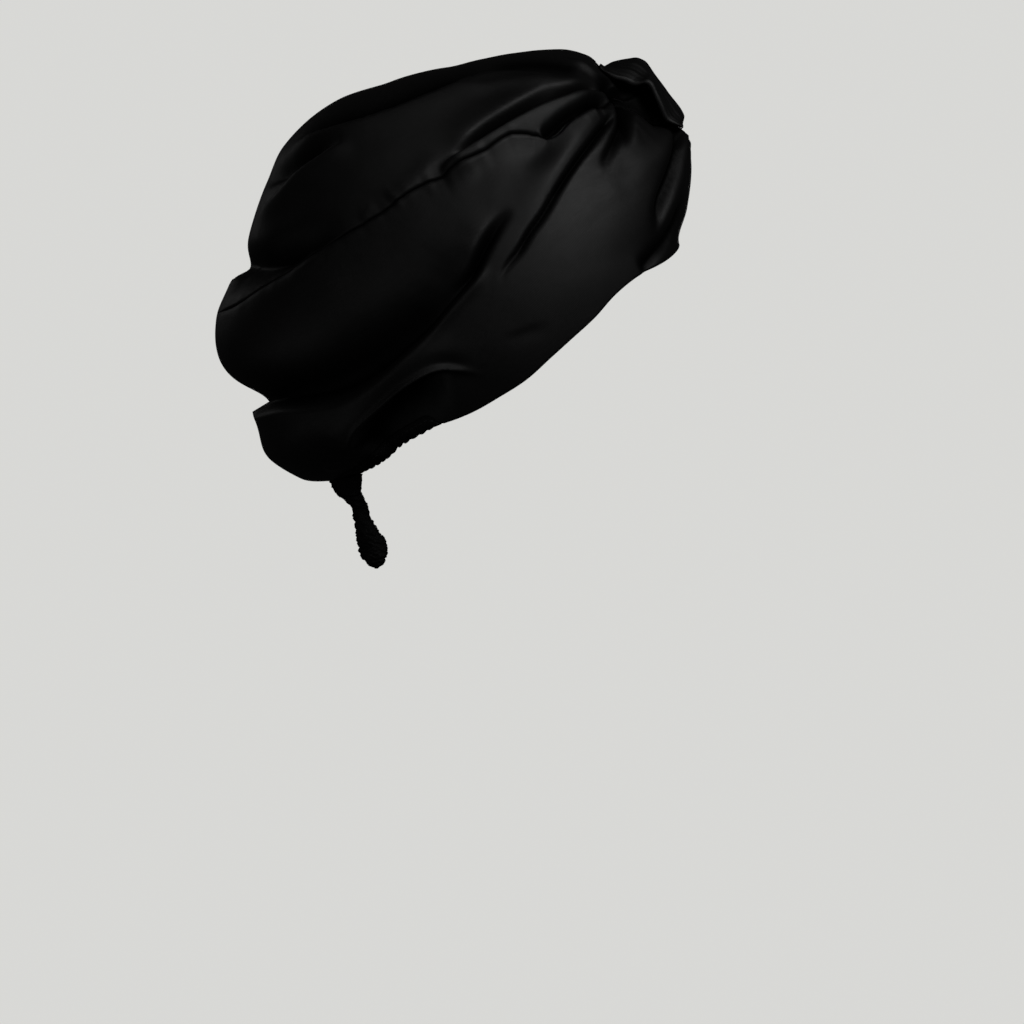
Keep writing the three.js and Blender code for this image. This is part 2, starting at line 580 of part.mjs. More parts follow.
function napeCasing() {
  const start = CASING_FROM + 0.3;
  const stop = TURN - start;
  const stations = CASING_GATHERS * 3;
  const levels = [0, 0.35, 0.75, 1];
  const grid = [];
  for (let i = 0; i <= stations; i += 1) {
    const row = start + ((stop - start) * i) / stations;
    const underTie = 1 - ease(1.6 - Math.abs(row - LAST_RIB));
    const wave = Math.cos((2 * Math.PI * i) / 3);
    const upper = panelEdge(row);
    const lower = sideDirection(row, 1.99999, 0.5 * wave * underTie);
    lower.multiplyScalar(fullReach(lower));
    const way = lower.clone().sub(upper);
    const tall = way.length();
    const line = levels.map((level) => {
      const step = Math.max(level * tall, GAP);
      const direction = upper.clone().addScaledVector(way, step / tall).normalize();
      const cloth = reach(direction);
      const full = CASING_FULL * Math.sin(Math.PI * between(level, 0.12, 0.88)) * underTie;
      const ruffle = CASING_RUFFLE * wave * (0.25 + 0.75 * level) * underTie * ease(tall / 5);
      return {
        outer: direction.clone().multiplyScalar(cloth + full + ruffle),
        inner: direction.clone().multiplyScalar(cloth - wallAlong(direction, WALL) - full + ruffle),
      };
    });
    grid.push(line);
  }
  return shell(grid, false);
}

// Closed body through rings of points, each ring a list in the same sense, with a middle point
// for the cap at either end.
function loft(rings, firstMiddle, lastMiddle) {
  const count = rings[0].length;
  const positions = [];
  for (const ring of rings) {
    for (const point of ring) {
      positions.push(...point.toArray());
    }
  }
  const head = positions.length / 3;
  positions.push(...firstMiddle.toArray(), ...lastMiddle.toArray());
  const index = [];
  for (let i = 0; i < count; i += 1) {
    const next = (i + 1) % count;
    for (let r = 0; r + 1 < rings.length; r += 1) {
      const a = r * count;
      const b = a + count;
      index.push(a + i, a + next, b + next, a + i, b + next, b + i);
    }
    const last = (rings.length - 1) * count;
    index.push(head, next, i, head + 1, last + i, last + next);
  }
  return solid(positions, index);
}

// Ring of the tie, gathered into ribs.
function tieRing(row, depth) {
  const points = [];
  const count = SHIRR_RIBS * 3;
  for (let i = 0; i < count; i += 1) {
    const turn = (2 * Math.PI * i) / count;
    const rib = 1 + (depth / row.fore) * Math.cos(turn * SHIRR_RIBS);
    points.push(new THREE.Vector3(
      row.x + row.fore * rib * Math.cos(turn),
      row.across * rib * Math.sin(turn),
      row.z,
    ));
  }
  return points;
}

// Point of the tab's top under the pouch, one gap clear of the cloth.
function underPouch(x, y) {
  let high = -70;
  let low = -110;
  for (let i = 0; i < 40; i += 1) {
    const z = (high + low) / 2;
    const point = new THREE.Vector3(x, y, z);
    const clear = point.length() - reach(point.clone().normalize()) - GAP - 0.15;
    if (clear > 0) {
      low = z;
    } else {
      high = z;
    }
  }
  return new THREE.Vector3(x, y, low);
}

function tieTab() {
  const root = tieRing({ ...TAB_ROOT, z: 0 }, SHIRR_DEPTH);
  const inset = tieRing({ x: TAB_ROOT.x, fore: TAB_ROOT.fore / 2, across: TAB_ROOT.across / 2, z: 0 }, 0);
  const rings = [
    inset.map((point) => underPouch(point.x, point.y)),
    root.map((point) => underPouch(point.x, point.y)),
    ...TAB_RINGS.map((row) => tieRing(row, SHIRR_DEPTH)),
  ];
  const last = TAB_RINGS[TAB_RINGS.length - 1];
  return loft(rings, underPouch(TAB_ROOT.x, 0), new THREE.Vector3(last.x, 0, last.z));
}

function tieLoop() {
  const rings = LOOP_RINGS.map((row) => tieRing(row, SHIRR_DEPTH));
  const first = LOOP_RINGS[0];
  return loft(
    rings,
    new THREE.Vector3(first.x, 0, first.z),
    new THREE.Vector3(LOOP_TIP.x, 0, LOOP_TIP.z),
  );
}

function piece(name, geometry, color) {
  const material = new THREE.MeshStandardMaterial({ name: `${name}_silk`, color, roughness: 0.5, metalness: 0 });
  const mesh = new THREE.Mesh(geometry, material);
  mesh.name = name;
  return mesh;
}

const bonnet = new THREE.Group();
bonnet.name = "silk_bonnet";
bonnet.add(
  piece("crown_panel", crownPanel(), 0x141414),
  piece("side_panel", sidePanel(), 0x161616),
  piece("front_knot", frontKnot(), 0x131313),
  piece("nape_casing", napeCasing(), 0x181818),
  piece("tie_tab", tieTab(), 0x151515),
  piece("tie_loop", tieLoop(), 0x171717),
);

export default bonnet;
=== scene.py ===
"""Black silk bonnet with a knotted front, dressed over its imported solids.

Lengths of the cloth's tables and fields are millimetres in the part's own frame: +Z up, +X to
the front, +Y to the wearer's left. Meshes, flat cloth sizes and the studio are in metres.
"""

import logging
import math
from dataclasses import dataclass, field
from enum import Enum
from typing import NamedTuple

import bpy
import numpy as np
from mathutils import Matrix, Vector


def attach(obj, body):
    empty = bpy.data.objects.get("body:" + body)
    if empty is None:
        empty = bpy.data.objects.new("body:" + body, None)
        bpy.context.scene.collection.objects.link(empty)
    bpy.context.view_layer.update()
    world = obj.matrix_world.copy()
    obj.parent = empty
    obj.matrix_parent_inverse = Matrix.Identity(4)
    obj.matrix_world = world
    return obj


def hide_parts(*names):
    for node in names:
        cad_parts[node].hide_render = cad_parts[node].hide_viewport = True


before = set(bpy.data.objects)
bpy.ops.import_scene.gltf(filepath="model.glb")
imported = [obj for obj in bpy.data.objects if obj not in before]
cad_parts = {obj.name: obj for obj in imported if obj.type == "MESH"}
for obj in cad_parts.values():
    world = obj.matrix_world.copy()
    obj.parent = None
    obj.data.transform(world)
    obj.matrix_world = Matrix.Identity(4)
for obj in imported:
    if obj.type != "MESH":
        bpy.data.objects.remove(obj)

LOG = logging.getLogger("silk_bonnet")
MM = 0.001


class Slot(Enum):
    """Material slots that the record names."""

    BLACK_SILK = "black_silk"
    SHIRRED_SILK = "shirred_silk"


class Held(Enum):
    """How a piece of cloth keeps its form."""

    GATHERED = "gathered"
    FOLDED = "folded"


class OutlineRow(NamedTuple):
    """One row of the middle-plane outline: angle from +X over the top, reach, fullness."""

    angle: float
    reach: float
    fullness: float


class RibRow(NamedTuple):
    """One rib of the right side, seen from the side, and its angle on the middle plane."""

    seam_x: float
    seam_z: float
    spine: float
    crease_x: float
    crease_z: float
    hem_x: float
    hem_z: float


class KnotRow(NamedTuple):
    """One row of the knot's arch: angle, reach of its top, half width, drop of its edges."""

    angle: float
    reach: float
    half: float
    drop: float


class TieRow(NamedTuple):
    """One ring of the tie: height, middle, half size fore and aft, half size across."""

    z: float
    x: float
    fore: float
    across: float


@dataclass(frozen=True)
class Fold:
    """One fold along a route of points seen from the side.

    rise is the height of a ridge, or less than nothing for a valley; upper and lower are its
    half widths on the two sides of the route; grow and fade are the shares of the route over
    which it starts and ends; its painted shade is the share by which the cloth's colour and gloss
    are darkened in its depth, painted in for the light that the depth swallows; hang is how far
    its crest leans towards the lower side, or less than nothing towards the upper side; left is
    the share of it that the wearer's left side has.
    """

    name: str
    rise: float
    upper: float
    lower: float
    grow: float
    fade: float
    route: tuple[tuple[float, float], ...]
    painted_shade: float = 0.0
    hang: float = 0.0
    left: float = 1.0


class Drape(NamedTuple):
    """The draped cloth: its reach, its steps along the cloth, and its painted shade."""

    reach: np.ndarray
    lean: np.ndarray
    painted_shade: np.ndarray


@dataclass(frozen=True)
class GatherFan:
    """Small folds that spread from a gathered place at an angle and a share across.

    A second, finer wave, turned by its own phase, breaks up the even fan.
    """

    name: str
    angle: float
    across: float
    folds: int
    depth: float
    near: float
    far: float
    phase: float
    second_share: float = 0.55
    second_folds: int = 5
    second_turn: float = 2.1
    second_phase: float = 0.7


OUTLINE = (
    OutlineRow(16, 103, 2.0), OutlineRow(24, 113, 2.0), OutlineRow(34, 126.5, 2.0),
    OutlineRow(39, 132, 2.01), OutlineRow(45, 127, 2.02), OutlineRow(52, 124, 2.04),
    OutlineRow(58, 126, 2.06), OutlineRow(62, 129.5, 2.07), OutlineRow(66, 132.5, 2.08),
    OutlineRow(70, 131.6, 2.09), OutlineRow(76, 127.8, 2.11), OutlineRow(82, 123.8, 2.13),
    OutlineRow(90, 119.3, 2.15), OutlineRow(98, 116.6, 2.17), OutlineRow(112, 117, 2.19),
    OutlineRow(125, 121.8, 2.2), OutlineRow(134, 123.6, 2.2), OutlineRow(142, 124, 2.2),
    OutlineRow(151, 121, 2.2), OutlineRow(163, 119.5, 2.2), OutlineRow(171, 121, 2.2),
    OutlineRow(177, 124.5, 2.2), OutlineRow(184, 129, 2.2), OutlineRow(190, 129.8, 2.2),
    OutlineRow(197, 129.5, 2.2), OutlineRow(207, 127.2, 2.2), OutlineRow(214, 128.8, 2.2),
    OutlineRow(220, 128, 2.2), OutlineRow(225, 126, 2.2), OutlineRow(230, 118, 2.2),
    OutlineRow(235, 106, 2.2), OutlineRow(245, 99, 2.2), OutlineRow(270, 100, 2.18),
    OutlineRow(300, 103, 2.1), OutlineRow(340, 103, 2.0),
)

# Angle and reach of the evened outline that the sides lean on, without the middle's dents.
EVENED = (
    (16, 114), (34, 122), (52, 126.5), (66, 128.5), (78, 126), (90, 121), (112, 118.5), (134, 121),
    (163, 122), (184, 127), (207, 128), (220, 126), (235, 108), (245, 100), (270, 100), (300, 103),
    (340, 105),
)

RIBS = (
    RibRow(76, 98, 52, 103, 74, 101, 29), RibRow(69, 98, 54, 92, 71, 90, 19),
    RibRow(62, 96, 58, 77, 68, 77, 12), RibRow(54, 93, 63, 63, 65, 66, 3),
    RibRow(47, 89, 69, 51, 60, 56, -8), RibRow(36, 79, 76, 39, 53, 45, -18),
    RibRow(27, 79, 83, 27, 48, 35, -27), RibRow(15, 77, 92, 16, 42, 24, -37),
    RibRow(1, 68, 101, 5, 29, 11, -45.5), RibRow(-14, 61, 110, -3, 14, 0, -52),
    RibRow(-28, 55, 119, -12, 2, -11, -57), RibRow(-43, 45, 128, -24, -12, -21, -61),
    RibRow(-57, 36, 137, -38, -23, -30, -66), RibRow(-72, 28, 146, -53, -34, -38, -71),
    RibRow(-87, 19, 155, -68, -42, -45, -77), RibRow(-102, 9, 164, -83, -48, -51, -81),
    RibRow(-117, -2, 173, -102, -51, -57, -84.5), RibRow(-132, -7, 183, -119, -55, -61, -88),
)
LAST_RIB = len(RIBS) - 1
TURN = 2 * LAST_RIB
# Ribs at which the crown's front edge and back edge turn into its side edges.
CROWN_FIRST = 1
CROWN_CORNER = 15

# Eighth values are painted shade: how much each fold darkens the cloth's colour and gloss.
FOLDS = (
    Fold("bag", 4.0, 28, 19, 0.35, 0,
         ((-30, 12), (-60, -6), (-88, -16), (-112, -24), (-130, -26))),
    Fold("lower roll", 3.4, 9, 12, 0.8, 0,
         ((-10, -19), (-24, -24), (-42, -36), (-62, -51), (-84, -63), (-104, -76))),
    Fold("crown top shade", -0.8, 8, 6, 0.3, 0.2,
         ((0, 112), (14, 114.5), (28, 115.5), (40, 114), (48, 111)), 0.75),
    Fold("crown crest valley", -2.2, 10, 3, 0.3, 0.25,
         ((14, 112), (-5, 108.5), (-19, 103.8), (-39, 95.5), (-58, 88.8), (-78, 83), (-88, 80.3)),
         0.9, left=0.3),
    Fold("crown crest ridge", 3.4, 2.4, 8, 0.35, 0.1,
         ((39, 107.5), (28, 108.5), (3, 107), (-18, 98.7), (-39, 90), (-65, 82), (-94, 74.7)),
         hang=-2.4, left=0.3),
    Fold("crown crest line", 0.8, 2.5, 4, 0.2, 0.3,
         ((51.5, 106.5), (30, 106.2), (10, 103.8), (0, 102), (-14, 102))),
    Fold("crown back valley", -4.5, 8, 4, 0.3, 0.4,
         ((-64, 77), (-85, 68), (-97, 62), (-106, 57)), 0.85, left=0.3),
    Fold("crown back ridge", 3.2, 2.6, 7, 0.3, 0.2,
         ((-60, 77), (-70, 71), (-86, 60), (-99, 47), (-110, 38)), hang=-2.0, left=0.3),
    Fold("knot top ridge", 2.4, 3, 4, 0.3, 0.1,
         ((41, 121), (48, 116), (57, 110), (66, 105), (69, 101))),
    Fold("crown fold one", 2.2, 9, 2.6, 0.1, 0.2,
         ((57, 105), (39.4, 104), (29.6, 102), (19.9, 97), (12.6, 92.4), (5.3, 87.8),
          (-2, 82.5), (-9.3, 75.8), (-16.6, 68.6)), hang=1.0),
    Fold("crown fold two valley", -9.5, 3.2, 2.8, 0.1, 0.4,
         ((60, 103.5), (49.1, 101.5), (39.4, 98.4), (29.6, 95.6), (19.9, 91), (12.6, 86.8),
          (5.3, 82), (-2, 76.6), (-9, 71), (-14.5, 66.5)), 0.95),
    Fold("crown fold two", 5.6, 3, 7.5, 0.1, 0.25,
         ((62, 101.5), (49.1, 98.3), (39.4, 94), (29.6, 89.5), (19.9, 84.2), (10.2, 78.4),
          (0.4, 72.4), (-9.3, 66), (-15.2, 62.5), (-18.5, 61)), hang=-1.0),
    Fold("crown seam valley", -5.5, 2.2, 2.2, 0.15, 0.15,
         ((66, 96), (58.9, 95.4), (54.7, 94), (48.1, 90.8), (41.5, 87.2), (36.5, 83.5), (33, 80.6),
          (32, 78)), 0.95),
    Fold("crown short ridge", 1.4, 6, 3.5, 0.4, 0.1, ((-11, 74), (-23, 65), (-33, 55), (-42, 46))),
    Fold("back seam valley", -6, 9, 4, 0.5, 0,
         ((-62, 36), (-72, 31), (-84, 25), (-97, 20), (-110, 17), (-121, 16)), 0.7),
    Fold("back notch", -5, 13, 7, 0.5, 0, ((-82, 25), (-93, 19), (-106, 14), (-118, 12)), 0.6),
    Fold("gather pit", -5, 5, 9, 0, 0, ((68, 98.5), (76, 94.5), (85, 89)), 0.9, hang=10),
    Fold("gathered bundle", 14, 8, 8, 0.4, 0.4,
         ((63, 114), (71, 107), (78, 100), (86, 96), (95, 92)), 0.8),
    Fold("side fold one bank", 2.8, 9, 5.5, 0.12, 0.55,
         ((58, 92), (53.4, 87.2), (48.9, 81.2), (40.4, 69.7), (32.1, 57), (25.3, 45.4), (18, 35))),
    Fold("side fold one", 0.6, 9, 2, 0.15, 0.4,
         ((64.5, 94.2), (60, 89.2), (56.5, 84.7), (52, 78.7), (43.5, 67.2), (35.2, 54.5),
          (28.4, 42.9), (22.1, 34.3), (16.9, 25.6), (10.6, 17.5), (6.3, 9.3))),
    Fold("side fold one valley", -4.0, 1.3, 1.6, 0.12, 0.28,
         ((67, 92.5), (62.5, 87.5), (59, 83), (54.5, 77), (46, 65.5), (37.7, 52.8), (30.9, 41.2),
          (24.6, 32.6), (19.4, 23.9), (13.1, 15.8), (8.8, 7.6)), 0.95),
    Fold("side fold two", 1.4, 4, 4, 0.15, 0.5,
         ((70, 92), (68, 88), (64.5, 81.6), (59, 74.3), (53, 68.8), (47.5, 61)), hang=0.6),
    Fold("side fold two valley", -5, 2.6, 3, 0.15, 0.6,
         ((71, 96), (69.5, 90), (68, 82.6), (65.3, 76.8), (61.5, 68), (59, 61.5)), 0.85),
    Fold("side gather valley", -4.5, 2.2, 2.2, 0, 0.6,
         ((72.5, 97), (72, 90), (72, 82), (71, 73)), 0.85),
    Fold("side fold three", 1.4, 3.5, 7, 0.1, 0.7, ((76.5, 93), (75, 85), (74, 74), (70.5, 61))),
    Fold("side faint valley", -0.5, 6, 6, 0.4, 0.4, ((75.5, 71), (71.5, 60), (64.7, 52.4))),
    Fold("front valley", -6.5, 4.5, 3, 0.1, 0.4,
         ((98, 87.5), (100.2, 80), (99.4, 75), (98, 70.2), (96.2, 64.4), (93.7, 58), (91, 51.2),
          (88.5, 44.2), (86.8, 37.6), (83.5, 28.5)), 0.85),
    Fold("front roll", 1.0, 3.5, 5, 0.2, 0.4,
         ((102.6, 84), (103.5, 74.6), (102, 64.8), (98.7, 55), (95.5, 47.5), (91.8, 39),
          (87.4, 31))),
    Fold("hem roll", -2.6, 4.5, 2.6, 0.2, 0.15,
         ((101, 54), (98.2, 44.2), (95.2, 36.9), (91.3, 29.6), (86.4, 23.7), (82, 18.3),
          (77.6, 13.5)), 0.8),
    Fold("shallow below seam", -2.0, 7, 7, 0.5, 0.5,
         ((46, 81), (35, 74.5), (26, 68.5), (16, 61.5)), 0.2),
    Fold("crease top", -6, 3, 2.2, 0.45, 0.4,
         ((17, 43.5), (11.7, 39), (6.4, 31), (1.6, 22), (-3.2, 12.4), (-9.9, 4.2),
          (-18.5, -5.8)), 0.85),
    Fold("crease", -11, 16, 1.9, 0.55, 0,
         ((1.6, 22), (-3.2, 12.4), (-9.9, 4.2), (-18.5, -5.8), (-25, -13), (-38, -24),
          (-52, -35.3), (-67, -44.2), (-82, -49), (-102, -51.8), (-119, -57.2)), 0.85),
    Fold("crease lip", 1.8, 1.5, 4, 0.15, 0.5,
         ((3.8, 20.5), (-1, 11), (-8, 2.6), (-16.8, -7.7), (-23.4, -15.1), (-36.4, -26.1),
          (-50.5, -37.4), (-65.9, -46.6), (-81.2, -51.5), (-101.6, -54.3))),
    Fold("soft ridge", 0.8, 8, 8, 0.4, 0.4, ((5, 46), (0, 34), (-3.5, 26), (-6, 18))),
    Fold("soft valley", -0.6, 10, 10, 0.4, 0.4, ((-11, 29), (-17, 16), (-22, 4)), 0.1),
    Fold("scoop ridge", 5.5, 12, 2.4, 0.5, 0.15,
         ((4, -36), (-7.8, -32.2), (-20.6, -30.7), (-33.5, -35.9), (-46.3, -46.3), (-56.8, -56.4),
          (-60.6, -64.2), (-61.6, -73)), hang=2.6),
    Fold("scoop", -8, 3.6, 14, 0.35, 0.1,
         ((-12, -34), (-21, -36.8), (-31, -42), (-42.5, -51), (-52, -60.5), (-55.5, -68),
          (-57, -75)), 0.85),
    Fold("scoop groove", -1.2, 4, 1.6, 0.3, 0.4,
         ((-2, -31.5), (-9, -29.6), (-20.8, -28), (-35, -33.7), (-48.2, -44.5),
          (-58.9, -54.8)), 0.3),
    Fold("scoop edge", 1.7, 1.2, 1.3, 0.25, 0.15,
         ((4, -36), (-7.8, -32.2), (-20.6, -30.7), (-33.5, -35.9), (-46.3, -46.3), (-56.8, -56.4),
          (-60.6, -64.2), (-61.6, -73))),
    Fold("pouch lip", 2, 5, 4, 0.3, 0.3, ((-78, -80), (-68, -81), (-57, -79))),
    Fold("small crease", -0.4, 1.8, 4, 0.4, 0.4, ((36, -11), (22, -15), (10, -20)), 0.2),
    Fold("pucker one", 0.5, 2.6, 2.6, 0.3, 0.5, ((-56, 38), (-53, 43), (-49, 48))),
    Fold("pucker two", 0.4, 2.6, 2.6, 0.3, 0.5, ((-27, 52), (-24, 57), (-20, 62))),
    Fold("pucker three", 0.5, 3, 3, 0.3, 0.5, ((-7, 60), (-2, 66), (4, 72))),
    Fold("pucker four", -1.2, 2.2, 2.2, 0.3, 0.5, ((35, 79), (38, 84), (41, 88))),
)

SIDE_GATHERS = GatherFan("side gathers", 53.5, -0.30, 11, 0.1, 8, 24, 0.4)
FRONT_GATHERS = GatherFan("front gathers", 40.0, 0.0, 12, 0.4, 6, 24, 1.1)
CROWN_GATHERS = GatherFan("crown gathers", 63.5, 0.0, 11, 0.25, 6, 24, 2.3)

KNOT = (
    KnotRow(62.6, 130.6, 15, 0.5), KnotRow(60.8, 135.4, 17, 5), KnotRow(58.6, 140.3, 18.5, 9),
    KnotRow(56.7, 143.8, 19, 11), KnotRow(55.2, 144.4, 19, 11), KnotRow(53.8, 143.4, 19, 8.5),
    KnotRow(52.6, 142.2, 19, 4), KnotRow(51.4, 141.4, 19, 3.2), KnotRow(49.5, 140.3, 18.8, 4.2),
    KnotRow(46.9, 139, 18, 5.6), KnotRow(44, 138.2, 16.5, 7.5), KnotRow(42, 136.8, 15, 5),
    KnotRow(40.6, 133.4, 13, 0.5),
)

TAB_ROWS = (
    TieRow(-95, -66.3, 6.8, 6.4), TieRow(-100, -62.8, 5.1, 4.8), TieRow(-104, -60.1, 4.2, 4),
)
TAB_ROOT = TieRow(0, -67.2, 8.2, 8)
LOOP_ROWS = (
    TieRow(-104.1, -60.0, 4.15, 3.9), TieRow(-107.5, -59.6, 4.2, 3.8),
    TieRow(-111.5, -58, 4.9, 4.2), TieRow(-115, -56.7, 5.7, 4.7), TieRow(-120.5, -54.5, 7.2, 5),
    TieRow(-124.5, -53.6, 7.4, 5), TieRow(-129, -53.2, 6.1, 4.4),
    TieRow(-132.5, -52.3, 3.4, 2.9), TieRow(-134.4, -52, 0.9, 0.9),
)


def ease(share: np.ndarray) -> np.ndarray:
    """Share of the way from 0 to 1, eased at both ends.

    Args:
        share: Shares, of any size.

    Returns:
        The eased shares, from 0 to 1.
    """
    t = np.clip(share, 0.0, 1.0)
    return t * t * (3.0 - 2.0 * t)


@dataclass(frozen=True)
class Ramp:
    """An eased way from 0 to 1 that begins at a place and takes a length, either way round."""

    start: float
    over: float

    def at(self, place: np.ndarray) -> np.ndarray:
        """Eased shares at places."""
        return ease((place - self.start) / self.over)


def unit(vectors: np.ndarray) -> np.ndarray:
    """Vectors brought to length one along their last axis."""
    return vectors / np.linalg.norm(vectors, axis=-1, keepdims=True)


def mirrored(points: np.ndarray) -> np.ndarray:
    """Points on the other side of the middle plane."""
    return points * np.array((1.0, -1.0, 1.0))


@dataclass(frozen=True, eq=False)
class Column:
    """One column of a table, read without overshoot between the rows."""

    keys: tuple[float, ...]
    values: tuple[float, ...]
    loop: bool = False

    def at(self, key: np.ndarray) -> np.ndarray:
        """Value of the column.

        Args:
            key: Places to read; a loop column closes on itself after 360.

        Returns:
            The values there.
        """
        order = np.argsort(self.keys)
        keys = np.array(self.keys, float)[order]
        values = np.array(self.values, float)[order]
        key = np.asarray(key, float)
        if self.loop:
            key = np.mod(key - keys[0], 360.0) + keys[0]
            keys = np.concatenate([keys[-2:] - 360.0, keys, keys[:2] + 360.0])
            values = np.concatenate([values[-2:], values, values[:2]])
        key = np.clip(key, keys[0], keys[-1])
        step = np.diff(keys)
        slope = np.diff(values) / step
        product = slope[:-1] * slope[1:]
        total = slope[:-1] + slope[1:]
        lean = np.zeros_like(values)
        lean[1:-1] = np.where(product > 0, 2.0 * product / np.where(total == 0, 1.0, total), 0.0)
        i = np.clip(np.searchsorted(keys, key, side="left") - 1, 0, len(step) - 1)
        t = (key - keys[i]) / step[i]
        rest = 1.0 - t
        near = (1.0 + 2.0 * t) * rest**2 * values[i] + t * rest**2 * step[i] * lean[i]
        far = t**2 * (3.0 - 2.0 * t) * values[i + 1] - t**2 * rest * step[i] * lean[i + 1]
        return near + far


@dataclass(frozen=True, eq=False)
class Strand:
    """Smooth line through points, open or closed on itself."""

    points: np.ndarray
    closed: bool

    def at(self, share: np.ndarray) -> np.ndarray:
        """Points at shares of the way along.

        Args:
            share: Shares from 0 to 1, counted in equal parts from point to point.

        Returns:
            One point for each share.
        """
        pts = self.points
        count = len(pts)
        place = np.asarray(share, float) * (count if self.closed else count - 1)
        if self.closed:
            place = np.mod(place, count)
            around = np.vstack([pts[-1], pts, pts[:2]])
        else:
            place = np.clip(place, 0.0, count - 1 - 1e-9)
            around = np.vstack([2 * pts[0] - pts[1], pts, 2 * pts[-1] - pts[-2]])
        i = np.floor(place).astype(int)
        t = (place - i)[..., None]
        p0, p1, p2, p3 = (around[i + k] for k in range(4))
        gaps = [np.linalg.norm(b - a, axis=-1, keepdims=True) ** 0.5
                for a, b in ((p0, p1), (p1, p2), (p2, p3))]
        d0, d1, d2 = (np.maximum(gap, 1e-4) for gap in gaps)
        start = ((p1 - p0) / d0 - (p2 - p0) / (d0 + d1) + (p2 - p1) / d1) * d1
        stop = ((p2 - p1) / d1 - (p3 - p1) / (d1 + d2) + (p3 - p2) / d2) * d1
        square = -3 * p1 + 3 * p2 - 2 * start - stop
        cube = 2 * p1 - 2 * p2 + start + stop
        return p1 + start * t + square * t**2 + cube * t**3


class Nearest(NamedTuple):
    """Nearest place on a line: squared distance, share of the way along, and its step."""

    squared: np.ndarray
    share: np.ndarray
    origin: np.ndarray
    step: np.ndarray


def nearest(line: np.ndarray, points: np.ndarray) -> Nearest:
    """Nearest place on a line for each point.

    Args:
        line: Points of the line in order.
        points: Points to measure from.

    Returns:
        The nearest places.
    """
    squared = np.full(len(points), np.inf)
    share = np.zeros(len(points))
    index = np.zeros(len(points), int)
    steps = np.diff(line, axis=0)
    for k, step in enumerate(steps):
        away = points - line[k]
        along = np.clip(away @ step / max(step @ step, 1e-12), 0.0, 1.0)
        found = ((away - along[:, None] * step) ** 2).sum(axis=1)
        closer = found < squared
        squared[closer] = found[closer]
        share[closer] = (k + along[closer]) / len(steps)
        index[closer] = k
    return Nearest(squared, share, line[index], steps[index])


